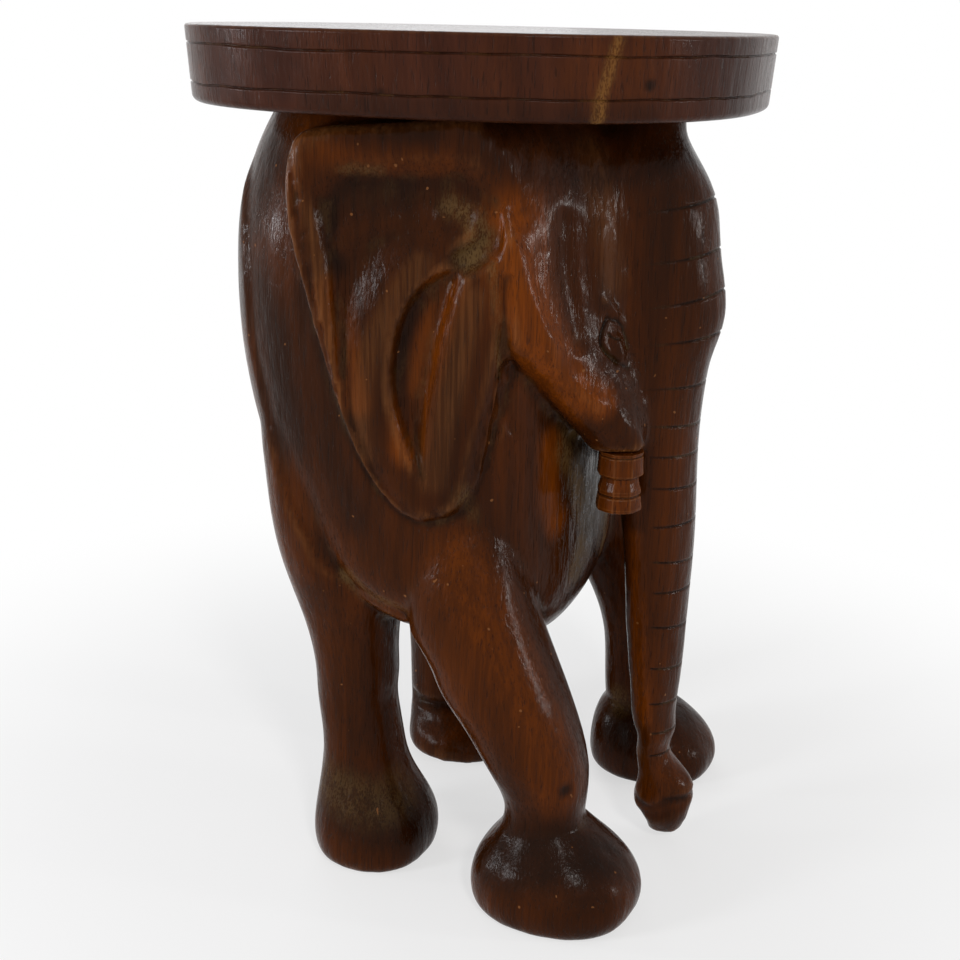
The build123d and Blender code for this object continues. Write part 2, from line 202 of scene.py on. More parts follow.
class Sculpture:
    """A mesh's vertices and faces in numpy, for carving with brushes."""

    def __init__(self, mesh: bpy.types.Mesh) -> None:
        """Reads a mesh whose place is in its vertices.

        Args:
            mesh: The mesh, which write() changes later.
        """
        count = len(mesh.vertices)
        flat = np.zeros(count * 3)
        mesh.vertices.foreach_get("co", flat)
        self.place = flat.reshape(-1, 3) / MM
        edges = np.zeros(len(mesh.edges) * 2, int)
        mesh.edges.foreach_get("vertices", edges)
        self.edges = edges.reshape(-1, 2)
        self.degree = np.bincount(self.edges.ravel(), minlength=count).astype(float)
        mesh.calc_loop_triangles()
        triangles = np.zeros(len(mesh.loop_triangles) * 3, int)
        mesh.loop_triangles.foreach_get("vertices", triangles)
        self.triangles = triangles.reshape(-1, 3)

    def neighbour_mean(self, values: np.ndarray) -> np.ndarray:
        """Averages a value over each vertex's neighbours.

        Args:
            values: One number or one row for each vertex.

        Returns:
            The means, in the same shape.
        """
        one, other = self.edges[:, 0], self.edges[:, 1]
        columns = []
        for column in values.reshape(len(values), -1).T:
            total = np.bincount(one, weights=column[other], minlength=len(values))
            total += np.bincount(other, weights=column[one], minlength=len(values))
            columns.append(total / self.degree)
        return np.stack(columns, axis=1).reshape(values.shape)

    def smooth(self, weight: np.ndarray | float, rounds: int) -> None:
        """Moves vertices towards their neighbours' mean.

        Args:
            weight: How far each vertex goes, as a share.
            rounds: How many times they move.
        """
        share = np.broadcast_to(np.asarray(weight, float), (len(self.place),))[:, None]
        for _ in range(rounds):
            self.place += share * (self.neighbour_mean(self.place) - self.place)

    def spread(self, values: np.ndarray, rounds: int) -> np.ndarray:
        """Blurs a value over the surface.

        Args:
            values: One number or one row for each vertex.
            rounds: How many times it is blurred.

        Returns:
            The blurred values.
        """
        for _ in range(rounds):
            values = 0.5 * values + 0.5 * self.neighbour_mean(values)
        return values

    def relief(self, rounds: int) -> np.ndarray:
        """How far each vertex lies below its smoothed surroundings."""
        soft = self.spread(self.place, rounds)
        return ((soft - self.place) * self.normals()).sum(axis=1)

    def normals(self) -> np.ndarray:
        """Works out the outward normals.

        Returns:
            A unit vector for each vertex.
        """
        first, second, third = (self.place[self.triangles[:, k]] for k in range(3))
        facing = np.cross(second - first, third - first)
        total = np.zeros_like(self.place)
        for corner in range(3):
            users = self.triangles[:, corner]
            for axis in range(3):
                total[:, axis] += np.bincount(users, weights=facing[:, axis], minlength=len(total))
        return total / np.maximum(np.linalg.norm(total, axis=1, keepdims=True), 1e-12)

    def settle(self, path: Path) -> np.ndarray:
        """Drops the points of a path onto the surface, along its normals.

        Args:
            path: Points near the surface.

        Returns:
            The points on the surface, one row each.
        """
        normals = self.normals()
        settled = []
        for point in np.asarray(path, float):
            nearest = np.argmin(((self.place - point) ** 2).sum(axis=1))
            rise = (self.place[nearest] - point) @ normals[nearest]
            settled.append(point + rise * normals[nearest])
        return np.array(settled)

    def press(self, depth: np.ndarray) -> None:
        """Moves each vertex inwards along its normal by a depth."""
        self.place -= self.normals() * depth[:, None]

    def write(self, mesh: bpy.types.Mesh) -> None:
        """Puts the carved places back in the mesh."""
        mesh.vertices.foreach_set("co", (self.place * MM).ravel())
        mesh.update()


# ---------------------------------------------------------------- node tools
class NodePen:
    """Writes shader or geometry nodes into one tree."""

    def __init__(self, tree: bpy.types.NodeTree) -> None:
        """Keeps the tree that the nodes go into."""
        self.tree = tree

    def fill(self, node: bpy.types.Node, values: dict) -> None:
        """Sets inputs of a node.

        Args:
            node: The node.
            values: A socket to link or a value to write, by input.
        """
        for name, value in values.items():
            if isinstance(value, bpy.types.NodeSocket):
                self.tree.links.new(value, node.inputs[name])
            else:
                node.inputs[name].default_value = value

    def node(self, kind: str, inputs: dict | None = None, **settings: object) -> bpy.types.Node:
        """Adds a node.

        Args:
            kind: The node's type name.
            inputs: Values or output sockets, by input name or number.
            **settings: Properties of the node itself.

        Returns:
            The new node.
        """
        made = self.tree.nodes.new(kind)
        for name, value in settings.items():
            setattr(made, name, value)
        self.fill(made, inputs or {})
        return made

    def math(self, operation: str, first: Amount, second: Amount | None = None) -> Socket:
        """One sum, root, sine or the like of one value or two."""
        given = {0: first} if second is None else {0: first, 1: second}
        return self.node("ShaderNodeMath", given, operation=operation).outputs[0]

    def plus(self, first: Amount, second: Amount) -> Socket:
        """The sum of two values."""
        return self.math("ADD", first, second)

    def minus(self, first: Amount, second: Amount) -> Socket:
        """The first value less the second."""
        return self.math("SUBTRACT", first, second)

    def times(self, first: Amount, second: Amount) -> Socket:
        """The product of two values."""
        return self.math("MULTIPLY", first, second)

    def clamp(self, value: Amount) -> Socket:
        """The value, kept within 0..1."""
        return self.node("ShaderNodeClamp", {"Value": value}).outputs[0]

    def span(
        self, value: Amount, low: float, high: float, to_low: float = 0.0, to_high: float = 1.0
    ) -> Socket:
        """Maps a value smoothly from one span to another, clamped.

        Args:
            value: The value.
            low: Where the first span starts.
            high: Where it ends, below low for a fall.
            to_low: The result at low and before it.
            to_high: The result at high and past it.

        Returns:
            The result's socket.
        """
        inputs = {"Value": value, "From Min": low, "From Max": high, "To Min": to_low, "To Max": to_high}
        made = self.node("ShaderNodeMapRange", inputs, interpolation_type="SMOOTHSTEP")
        return made.outputs["Result"]

    def mix(self, share: Amount, first: Socket | Colour, second: Socket | Colour) -> Socket:
        """The first colour, or by a share the second."""
        made = self.node("ShaderNodeMix", {0: share, 6: first, 7: second}, data_type="RGBA")
        return made.outputs[2]

    def noise(
        self, place: Place, scale: float, detail: float = 2.0, rough: float = 0.5, warp: float = 0.0
    ) -> Socket:
        """Noise in space, about 0.5 in the mean.

        Args:
            place: Where it is read.
            scale: How many waves a metre has.
            detail: How many finer layers are added.
            rough: How strong the finer layers are.
            warp: How far the noise is bent by itself.

        Returns:
            The noise's socket.
        """
        inputs = {"Vector": place, "Scale": scale, "Detail": detail, "Roughness": rough, "Distortion": warp}
        return self.node("ShaderNodeTexNoise", inputs).outputs[0]

    def vector(self, operation: str, first: Place, second: Place) -> Socket:
        """One sum or product of two vectors, axis by axis."""
        return self.node("ShaderNodeVectorMath", {0: first, 1: second}, operation=operation).outputs[0]

    def stretch(self, place: Place, x: float = 1.0, y: float = 1.0, z: float = 1.0) -> Socket:
        """Scales a place; under 1 draws a pattern out along the axis."""
        return self.vector("MULTIPLY", place, (x, y, z))

    def length(self, place: Place) -> Socket:
        """How far a place lies from the origin."""
        return self.node("ShaderNodeVectorMath", {0: place}, operation="LENGTH").outputs["Value"]

    def group(self, name: str, inputs: dict) -> dict[str, Socket]:
        """Places a shared group.

        Args:
            name: The group's name.
            inputs: Values or sockets, by the group's input names.

        Returns:
            The group's outputs, by name.
        """
        made = self.node("ShaderNodeGroup", node_tree=bpy.data.node_groups[name])
        self.fill(made, inputs)
        return {socket.name: socket for socket in made.outputs}

    def mask(self, name: str) -> Socket:
        """Reads a mask that a mesh carries."""
        return self.node("ShaderNodeAttribute", attribute_name=name).outputs["Fac"]

    def surface(self, kind: str, shader: bpy.types.Node) -> None:
        """Ends the tree in an output node, fed by a shader."""
        self.fill(self.node(kind), {"Surface": shader.outputs[0]})


class GroupPen(NodePen):
    """Writes a shader node group that materials share."""

    def __init__(self, name: str, inputs: dict[str, float | Triple]) -> None:
        """Starts the group.

        Args:
            name: The group's name.
            inputs: Default value of each input; three numbers make a vector.
        """
        super().__init__(bpy.data.node_groups.new(name, "ShaderNodeTree"))
        for label, default in inputs.items():
            kind = "NodeSocketVector" if isinstance(default, tuple) else "NodeSocketFloat"
            socket = self.tree.interface.new_socket(label, in_out="INPUT", socket_type=kind)
            socket.default_value = default
        self.given = self.node("NodeGroupInput").outputs

    def give(self, results: dict[str, Socket]) -> None:
        """Ends the group in its outputs.

        Args:
            results: The value of each output, by name.
        """
        for label in results:
            self.tree.interface.new_socket(label, in_out="OUTPUT", socket_type="NodeSocketFloat")
        self.fill(self.node("NodeGroupOutput"), results)


def fresh_pen(owner: bpy.types.Material | bpy.types.World) -> NodePen:
    """Empties a node tree and gives a pen for it.

    Args:
        owner: The material or world that the tree belongs to.

    Returns:
        The pen.
    """
    owner.use_nodes = True
    owner.node_tree.nodes.clear()
    return NodePen(owner.node_tree)


def make_grain_group() -> None:
    """Builds the long grain of a log: rings round a pith, fibres and pores.

    The group goes from Place, Ring Density and Wander to Figure, Fibre, Pore
    and Blotch, each 0 to 1.
    """
    pen = GroupPen("hardwood_grain", {"Place": (0.0, 0.0, 0.0), "Ring Density": 170.0, "Wander": 0.012})
    place = pen.given["Place"]
    slow = pen.stretch(place, z=0.22)
    bend = pen.node("ShaderNodeTexNoise", {"Vector": slow, "Scale": 14.0, "Detail": 2.0})
    centred = pen.vector("SUBTRACT", bend.outputs["Color"], (0.5, 0.5, 0.5))
    wander = {0: centred, "Scale": pen.given["Wander"]}
    scaled = pen.node("ShaderNodeVectorMath", wander, operation="SCALE").outputs[0]
    bent = pen.vector("ADD", place, scaled)
    count = pen.times(pen.length(pen.stretch(bent, z=0.06)), pen.given["Ring Density"])
    rings = {"W": count, "Scale": 1.0, "Detail": 3.0, "Roughness": 0.6}
    bands = pen.node("ShaderNodeTexNoise", rings, noise_dimensions="1D").outputs[0]
    threads = pen.noise(pen.stretch(bent, z=0.035), scale=620.0, detail=3.0, rough=0.6)
    broad = pen.noise(pen.stretch(bent, z=0.05), scale=150.0)
    dashes = pen.noise(pen.stretch(bent, z=0.045), scale=1500.0, detail=1.0)
    patches = pen.noise(slow, scale=11.0, detail=3.0, rough=0.55, warp=0.4)
    fibre = pen.plus(pen.times(threads, 0.55), pen.times(broad, 0.45))
    pen.give(
        {
            "Figure": pen.span(bands, 0.32, 0.68),
            "Fibre": pen.span(fibre, 0.34, 0.66),
            "Pore": pen.span(dashes, 0.62, 0.70),
            "Blotch": pen.span(patches, 0.36, 0.66),
        }
    )


def make_tool_marks_group() -> None:
    """Builds what the tools and the lacquer left on the surface.

    The group goes from Place and Facet Size to Facet (knife facets), Scratch,
    Ripple (of the lacquer) and Fleck (bare specks), each 0 to 1.
    """
    pen = GroupPen("tool_marks", {"Place": (0.0, 0.0, 0.0), "Facet Size": 110.0})
    place = pen.given["Place"]
    cells = {"Vector": pen.stretch(place, z=0.55), "Smoothness": 0.6, "Scale": pen.given["Facet Size"]}
    facets = pen.node("ShaderNodeTexVoronoi", cells, feature="SMOOTH_F1")
    lines = pen.noise(pen.stretch(place, y=0.6, z=0.09), scale=900.0, detail=1.0, rough=0.4)
    rare = pen.noise(place, scale=60.0, detail=1.0)
    specks = pen.noise(place, scale=330.0, detail=0.0)
    pen.give(
        {
            "Facet": facets.outputs["Distance"],
            "Scratch": pen.times(pen.span(lines, 0.66, 0.72), pen.span(rare, 0.5, 0.6)),
            "Ripple": pen.noise(pen.stretch(place, z=0.4), scale=330.0, warp=0.4),
            "Fleck": pen.span(specks, 0.85, 0.87),
        }
    )


def make_dust_group() -> None:
    """Builds dust and old polish that lie in hollows, broken up by fine noise.

    The group goes from Place, Hollow and Painted to Dust, 0 to 1.
    """
    pen = GroupPen("settled_dust", {"Place": (0.0, 0.0, 0.0), "Hollow": 0.0, "Painted": 0.0})
    place = pen.given["Place"]
    coarse = pen.noise(pen.stretch(place, z=0.6), scale=90.0, detail=3.0, rough=0.6)
    fine = pen.noise(pen.stretch(place, z=0.3), scale=520.0, rough=0.6)
    hatch = pen.noise(pen.stretch(place, z=0.42), scale=1300.0, detail=1.0, warp=0.6)
    hollow = pen.times(pen.given["Hollow"], pen.span(coarse, 0.42, 0.62))
    amount = pen.plus(pen.times(hollow, 0.16), pen.given["Painted"])
    broken = pen.plus(pen.times(coarse, 0.6), pen.times(fine, 0.4))
    broken = pen.times(broken, pen.span(hatch, 0.35, 0.6, 0.75, 1.1))
    pen.give({"Dust": pen.clamp(pen.times(amount, pen.span(broken, 0.34, 0.60, 0.2, 1.0)))})


# ----------------------------------------------------------------- finishes
def colour(red: int, green: int, blue: int) -> Colour:
    """A display colour as Blender's linear one.

    Args:
        red: The red part, 0 to 255.
        green: The green part.
        blue: The blue part.

    Returns:
        The linear colour, with its alpha.
    """
    parts = []
    for part in (red, green, blue):
        share = part / 255.0
        parts.append(share / 12.92 if share <= 0.04045 else ((share + 0.055) / 1.055) ** 2.4)
    return (parts[0], parts[1], parts[2], 1.0)


WHITE = colour(255, 255, 255)


class Mask(Enum):
    """Masks that the pieces' meshes carry for their finish and for painted light and shade, 0 to 1."""

    # Hollows: dust lies there, the lacquer is lost, and the wood is darkened there as painted shade.
    HOLLOW = "hollow"
    # Ridges and edges: paler as wear, and partly as painted highlight.
    EDGE = "edge"
    DUSTY = "dusty"
    WARM = "warm"
    # Darker patches: painted shade under and beside parts and in recesses, darker tone elsewhere, dark
    # pits.
    SHADE_AND_DARK_TONE = "sooty"


class Slot(Enum):
    """The record's material slots."""

    SEAT = "seat_wood"
    CARVING = "carving_wood"
    TUSK = "tusk_wood"


@dataclass(frozen=True)
class Hardwood:
    """A lacquered hardwood finish, with colours as they show in daylight.

    The reliefs are metres; a share says how far one colour goes over another.
    The darkest colour also paints shade into hollows, cuts and under and beside
    parts; the pale colour of rubbed edges also paints highlights on ridges.
    """

    name: str
    dark: Colour = colour(27, 10, 1)
    body: Colour = colour(53, 22, 2)
    warm: Colour = colour(112, 52, 4)
    # Pale colour of rubbed edges and bare specks, also used as painted highlight on ridges and edges.
    wear_and_highlight: Colour = colour(126, 80, 44)
    # Darkest colour: pores and dark patches, and painted shade in hollows, cuts and under parts.
    dust: Colour = colour(100, 76, 44)
    shade_and_pore_dark: Colour = colour(16, 9, 5)
    pith: Triple = (0.03, 0.045, 0.0)
    ring_density: float = 170.0
    figure_share: float = 0.35
    blotch_share: float = 0.35
    fibre_share: float = 0.28
    glow_in_dark_fibre: float = 0.75
    pore_share: float = 0.45
    # How far the dark mask darkens: painted shade, and partly a darker tone.
    shade_and_dark_tone_share: float = 0.85
    # How far hollows and cut lines are darkened as painted shade.
    hollow_shade_share: float = 0.55
    # How far edges go pale: wear, and partly painted highlight.
    wear_and_highlight_share: Span = (0.15, 0.42)
    fleck_share: float = 0.7
    specular: float = 0.055
    roughness: float = 0.155
    dust_roughness: float = 0.35
    fibre_roughness: float = 0.08
    coat_weight: float = 0.02
    coat_roughness: float = 0.18
    coat_lost_in_hollow: float = 0.85
    fibre_relief: float = 0.00009
    pore_depth: float = 0.000108
    scratch_depth: float = 0.000072
    facet_relief: float = 0.0006
    ripple_relief: float = 0.00035

    def make(self) -> bpy.types.Material:
        """Builds the material.

        Returns:
            The finished material.
        """
        material = bpy.data.materials.new(self.name)
        pen = fresh_pen(material)
        here = pen.node("ShaderNodeTexCoord").outputs["Object"]
        place = pen.node("ShaderNodeMapping", {"Vector": here, "Location": self.pith}).outputs[0]
        grain = pen.group("hardwood_grain", {"Place": place, "Ring Density": self.ring_density})
        marks = pen.group("tool_marks", {"Place": place})
        masks = {mask: pen.mask(mask.value) for mask in Mask}
        lying = {"Place": place, "Hollow": masks[Mask.HOLLOW], "Painted": masks[Mask.DUSTY]}
        dust = pen.group("settled_dust", lying)["Dust"]
        wood = pen.mix(dust, self.wood_colour(pen, grain, masks), self.dust)
        wood = pen.mix(pen.times(marks["Fleck"], self.fleck_share), wood, self.wear_and_highlight)
        rough = pen.plus(self.roughness, pen.times(dust, self.dust_roughness))
        rough = pen.plus(rough, pen.times(grain["Fibre"], self.fibre_roughness))
        sunk = pen.math("MINIMUM", masks[Mask.HOLLOW], self.coat_lost_in_hollow)
        bare = pen.math("MAXIMUM", dust, sunk)
        relief = self.surface_relief(pen, grain, marks)
        inputs = {
            "Base Color": wood,
            "Roughness": rough,
            "Normal": pen.node("ShaderNodeBump", {"Height": relief, "Distance": 1.0}).outputs[0],
            "Specular IOR Level": self.specular,
            "Coat Weight": pen.times(pen.minus(1.0, bare), self.coat_weight),
            "Coat Roughness": self.coat_roughness,
        }
        pen.surface("ShaderNodeOutputMaterial", pen.node("ShaderNodeBsdfPrincipled", inputs))
        return material

    def wood_colour(self, pen: NodePen, grain: dict[str, Socket], masks: dict[Mask, Socket]) -> Socket:
        """Mixes the wood's colour with painted shade and painted highlights, without dust and flecks.

        Args:
            pen: The material's pen.
            grain: The grain group's outputs.
            masks: The mesh's masks.

        Returns:
            The colour's socket.
        """
        fibre = grain["Fibre"]
        wood = pen.mix(pen.times(grain["Figure"], self.figure_share), self.body, self.dark)
        glow = pen.plus(pen.times(grain["Blotch"], self.blotch_share), masks[Mask.WARM])
        glow = pen.times(glow, pen.span(fibre, 0.0, 1.0, self.glow_in_dark_fibre, 1.0))
        wood = pen.mix(pen.clamp(glow), wood, self.warm)
        wood = pen.mix(pen.span(fibre, 1.0, 0.0, 0.0, self.fibre_share), wood, self.dark)
        wood = pen.mix(pen.times(grain["Pore"], self.pore_share), wood, self.shade_and_pore_dark)
        # Painted shade under and beside parts and in recesses, with darker patches of tone.
        wood = pen.mix(pen.times(masks[Mask.SHADE_AND_DARK_TONE], self.shade_and_dark_tone_share), wood, self.shade_and_pore_dark)
        # Painted shade in hollows and cut lines.
        wood = pen.mix(pen.times(masks[Mask.HOLLOW], self.hollow_shade_share), wood, self.shade_and_pore_dark)
        # Paler edges and ridges: wear, and partly painted highlight.
        edge = pen.times(masks[Mask.EDGE], pen.span(fibre, 0.1, 0.9, *self.wear_and_highlight_share))
        return pen.mix(edge, wood, self.wear_and_highlight)

    def surface_relief(self, pen: NodePen, grain: dict[str, Socket], marks: dict[str, Socket]) -> Socket:
        """Adds up fibres, pores, scratches, facets and ripples.

        Args:
            pen: The material's pen.
            grain: The grain group's outputs.
            marks: The tool marks group's outputs.

        Returns:
            The socket of the height, in metres.
        """
        relief = pen.times(grain["Fibre"], self.fibre_relief)
        for cut, depth in ((grain["Pore"], self.pore_depth), (marks["Scratch"], self.scratch_depth)):
            relief = pen.minus(relief, pen.times(cut, depth))
        for swell, height in ((marks["Facet"], self.facet_relief), (marks["Ripple"], self.ripple_relief)):
            relief = pen.plus(relief, pen.times(swell, height))
        return relief


# --------------------------------------------------------------- the studio
@dataclass(frozen=True)
class Lamp:
    """A square soft lamp: its place and size in metres, power and tint."""

    name: str
    place: Triple
    size: float
    power: float
    tint: Triple

    def hang(self, aim: Triple) -> None:
        """Puts the lamp in the scene, facing a point.

        Args:
            aim: The point, in metres.
        """
        data = bpy.data.lights.new(self.name, "AREA")
        data.shape, data.size, data.energy, data.color = "SQUARE", self.size, self.power, self.tint
        lamp = add_object(self.name, data)
        lamp.location = self.place
        gaze = Vector(aim) - Vector(self.place)
        lamp.rotation_euler = gaze.to_track_quat("-Z", "Y").to_euler()


@dataclass
class Studio:
    """A pale floor, soft lamps and the camera, whose angles are degrees."""

    eye: Triple = (-694.9, -254.3, 448.0)
    azimuth: float = -70.0
    pitch: float = 18.51
    roll: float = 1.26
    lens: float = 52.5
    sensor: float = 36.0
    clip: Span = (0.01, 50.0)
    fill: float = 0.4
    floor_size: float = 6000.0
    floor_white: float = 0.9
    shadow_reach: Span = (0.18, 0.55)
    floor_glow: float = 0.6
    aim: Triple = (0.0, 0.0, 0.22)
    lamps: tuple[Lamp, ...] = (
        Lamp("high_window", (-1.25, -0.85, 1.25), 0.22, 9.0, (1.0, 0.98, 0.96)),
        Lamp("side_window", (-1.2, 1.1, 0.55), 0.34, 11.0, (0.95, 0.97, 1.0)),
        Lamp("front_window", (0.25, -1.75, 0.42), 0.13, 5.0, (1.0, 0.98, 0.96)),
        Lamp("rear_window", (-0.55, 1.7, 0.38), 0.15, 5.0, (0.93, 0.96, 1.0)),
        Lamp("back_fill", (1.4, 0.9, 1.2), 1.2, 6.0, (0.95, 0.97, 1.0)),
    )

    def camera(self) -> None:
        """Puts the camera at its eye point, looking down at the stool."""
        turn, tip, lean = (math.radians(v) for v in (self.azimuth, self.pitch, self.roll))
        ahead = Vector((-math.sin(turn), math.cos(turn), 0.0))
        level = Vector((math.cos(turn), math.sin(turn), 0.0))
        up = Vector((0.0, 0.0, 1.0))
        gaze = ahead * math.cos(tip) - up * math.sin(tip)
        above = ahead * math.sin(tip) + up * math.cos(tip)
        right = level * math.cos(lean) + above * math.sin(lean)
        upward = above * math.cos(lean) - level * math.sin(lean)
        data = bpy.data.cameras.new("camera")
        data.lens, data.sensor_width, data.sensor_fit = self.lens, self.sensor, "HORIZONTAL"
        data.clip_start, data.clip_end = self.clip
        camera = add_object("camera", data)
        axes = Matrix((right, upward, -gaze)).transposed().to_4x4()
        camera.matrix_world = Matrix.Translation(Vector(self.eye) * MM) @ axes
        bpy.context.scene.camera = camera

    def seen_directly(self, pen: NodePen) -> Socket:
        """1 for what the camera, a reflection or glass sees.

        Args:
            pen: The pen of the floor's or the world's tree.

        Returns:
            The value's socket.
        """
        path = pen.node("ShaderNodeLightPath")
        seen = pen.math("MAXIMUM", path.outputs["Is Camera Ray"], path.outputs["Is Glossy Ray"])
        return pen.math("MAXIMUM", seen, path.outputs["Is Transmission Ray"])

    def surroundings(self) -> None:
        """White background, and a dimmer even light from all round."""
        world = bpy.data.worlds.new("surroundings")
        bpy.context.scene.world = world
        pen = fresh_pen(world)
        fill = pen.node("ShaderNodeBackground", {"Color": WHITE, "Strength": self.fill})
        white = pen.node("ShaderNodeBackground", {"Color": WHITE, "Strength": 1.0})
        inputs = {0: self.seen_directly(pen), 1: fill.outputs[0], 2: white.outputs[0]}
        pen.surface("ShaderNodeOutputWorld", pen.node("ShaderNodeMixShader", inputs))

    def floor(self) -> None:
        """A pale floor that keeps the stool's shadow and fades to white."""
        half = self.floor_size / 2 * MM
        mesh = bpy.data.meshes.new("floor")
        corners = [(-half, -half, 0), (half, -half, 0), (half, half, 0), (-half, half, 0)]
        mesh.from_pydata(corners, [], [(0, 1, 2, 3)])
        floor = add_object("floor", mesh)
        material = bpy.data.materials.new("floor_paint")
        pen = fresh_pen(material)
        pale = (self.floor_white, self.floor_white, self.floor_white, 1.0)
        paint = pen.node("ShaderNodeBsdfDiffuse", {"Color": pale})
        white = pen.node("ShaderNodeEmission", {"Color": WHITE, "Strength": 1.0})
        away = pen.length(pen.node("ShaderNodeTexCoord").outputs["Object"])
        glow = pen.span(away, *self.shadow_reach, self.floor_glow, 1.0)
        share = pen.times(glow, self.seen_directly(pen))
        inputs = {0: share, 1: paint.outputs[0], 2: white.outputs[0]}
        pen.surface("ShaderNodeOutputMaterial", pen.node("ShaderNodeMixShader", inputs))
        mesh.materials.append(material)

    def build(self) -> None:
        """Sets up the view, the lamps, the floor and the surroundings."""
        bpy.context.scene.view_settings.view_transform = "Standard"
        self.camera()
        self.surroundings()
        self.floor()
        for lamp in self.lamps:
            lamp.hang(self.aim)


# --------------------------------------------------------------- the carving
@dataclass(frozen=True)
class Ridge:
    """A raised line on a flat side: its path, drop and shoulders.

    The two pairs are for the left and the right of the path's direction: the
    ridge keeps its height over the first number, then falls over the second.
    """

    path: Path
    drop: float = 0.0
    left: Span = (4.0, 8.0)
    right: Span = (4.0, 8.0)


FOLD_PATH = (
    (-35, 343), (-25, 340), (-14, 335), (-5, 327), (1, 316), (5, 303),
    (7, 288), (6, 273), (2, 258), (-4, 243), (-12, 226),
)
ROLL_PATH = ((-38, 341), (-33, 323), (-28, 304), (-25, 285), (-22, 265), (-20, 245), (-19, 226))
BROW_PATH = ((-12, 357), (2, 357), (16, 353), (28, 345))


@dataclass(frozen=True)
class EarRelief:
    """Carved folds on the outer face of an ear, as depths under its plane.

    Places on the ear are (Y, Z) pairs of the right ear; root and rear are the
    (X, Y) places where its plane starts and ends.
    """

    root: Span = (-98.0, -47.5)
    rear: Span = (-126.0, 50.3)
    floor_depth: float = 8.6
    skin: float = 5.0
    blend: float = 2.4
    low_rim: Path = ((285.0, 0.8), (335.0, 6.0))
    rear_fall: float = 5.0
    top_rim: float = 13.0
    top_fall: float = 17.0
    front_round: float = 4.0
    front_reach: float = 9.0
    crescent_depth: float = 5.5
    crescent_reach: Span = (2.0, 9.0)
    crease_depth: float = 2.6
    crease_reach: Span = (0.6, 4.2)
    crease_band: Span = (-34.0, -24.0)
    facing_span: Span = (0.2, 0.6)
    rear_edge: Path = (
        (47, 383), (45, 368), (43, 351), (38, 325), (29, 278),
        (24, 256), (16, 236), (6, 222), (-5, 214), (-15, 211),
    )
    front_edge: Path = (
        (-15, 211), (-24, 214), (-31, 222), (-36, 240), (-39, 256),
        (-43, 273), (-46, 290), (-49, 310), (-49, 332),
    )
    top_edge: Path = ((-52, 392), (-30, 401), (-1, 400), (23, 399), (37, 393), (47, 383))
    crescent: Path = ((-21, 364), (-32, 365), (-39, 357), (-38, 347), (-29, 340))
    ridges: tuple[Ridge, ...] = (
        Ridge(FOLD_PATH, 0.2, (5.0, 26.0), (1.0, 6.5)),
        Ridge(ROLL_PATH, 0.4, (4.5, 11.0), (18.0, 9.0)),
        Ridge(BROW_PATH, 5.0, (1.0, 10.0), (1.0, 10.0)),
    )

    def carve(self, figure: Sculpture, side: int) -> None:
        """Presses the folds into one ear, and a crease round it.

        Args:
            figure: The carving.
            side: 1 for the right ear, -1 for the left.
        """
        place = figure.place * (side, 1.0, 1.0)
        run = np.array(self.rear) - np.array(self.root)
        outward = np.array([-run[1], run[0]]) / np.linalg.norm(run)
        out = (place[:, :2] - np.array(self.root)) @ outward
        turned = (figure.normals() * (side, 1.0, 1.0))[:, :2] @ outward
        facing = smoothstep(*self.facing_span, turned)
        flat = place[:, 1:]
        edges = (self.rear_edge, self.front_edge, self.top_edge)
        gaps = [distance_to_path(flat, rounded_path(edge)) for edge in edges]
        outline = rounded_path(self.rear_edge + self.front_edge[1:] + self.top_edge)
        inside = inside_outline(flat, outline)
        weight = inside * smoothstep(-self.skin, -0.5 * self.skin, out) * facing
        outside = ~inside * facing * smoothstep(*self.crease_band, out)
        border = np.minimum(gaps[0], gaps[1])
        crease = (1.0 - smoothstep(*self.crease_reach, border)) * outside
        moved = self.depth(flat, gaps) * weight + self.crease_depth * crease
        figure.place[:, 0] -= side * outward[0] * moved
        figure.place[:, 1] -= outward[1] * moved

    def depth(self, flat: np.ndarray, gaps: list[np.ndarray]) -> np.ndarray:
        """Works out how deep the ear lies under its plane.

        Args:
            flat: The (Y, Z) places.
            gaps: Their distances to the rear, front and top edges.

        Returns:
            The depth at each place.
        """
        depth = np.full(len(flat), self.floor_depth)
        for ridge in self.ridges:
            depth = soft_least(depth, self.under_ridge(flat, ridge), self.blend)
        heights, widths = zip(*self.low_rim)
        low_rim = np.interp(flat[:, 1], heights, widths)
        rims = ((gaps[0], low_rim, self.rear_fall), (gaps[2], self.top_rim, self.top_fall))
        for gap, width, fall in rims:
            slope = self.floor_depth * smoothstep(0.0, 1.0, (gap - width) / fall)
            depth = soft_least(depth, slope, self.blend)
        front = 1.0 - smoothstep(0.0, self.front_reach, gaps[1])
        depth = np.maximum(depth, self.front_round * front**2)
        bowl = distance_to_path(flat, rounded_path(self.crescent))
        scooped = self.crescent_depth * (1.0 - smoothstep(*self.crescent_reach, bowl))
        return np.maximum(depth, scooped)

    def under_ridge(self, flat: np.ndarray, ridge: Ridge) -> np.ndarray:
        """Works out the depth that one ridge allows.

        Args:
            flat: The (Y, Z) places.
            ridge: The ridge.

        Returns:
            The depth at each place.
        """
        path = rounded_path(ridge.path)
        gap = side_of_path(flat, path)
        near = distance_to_path(flat, path)
        fall = np.zeros(len(flat))
        for mask, (width, reach) in ((gap > 0, ridge.left), (gap <= 0, ridge.right)):
            fall = np.where(mask, smoothstep(width, width + reach, near), fall)
        return ridge.drop + (self.floor_depth - ridge.drop) * fall


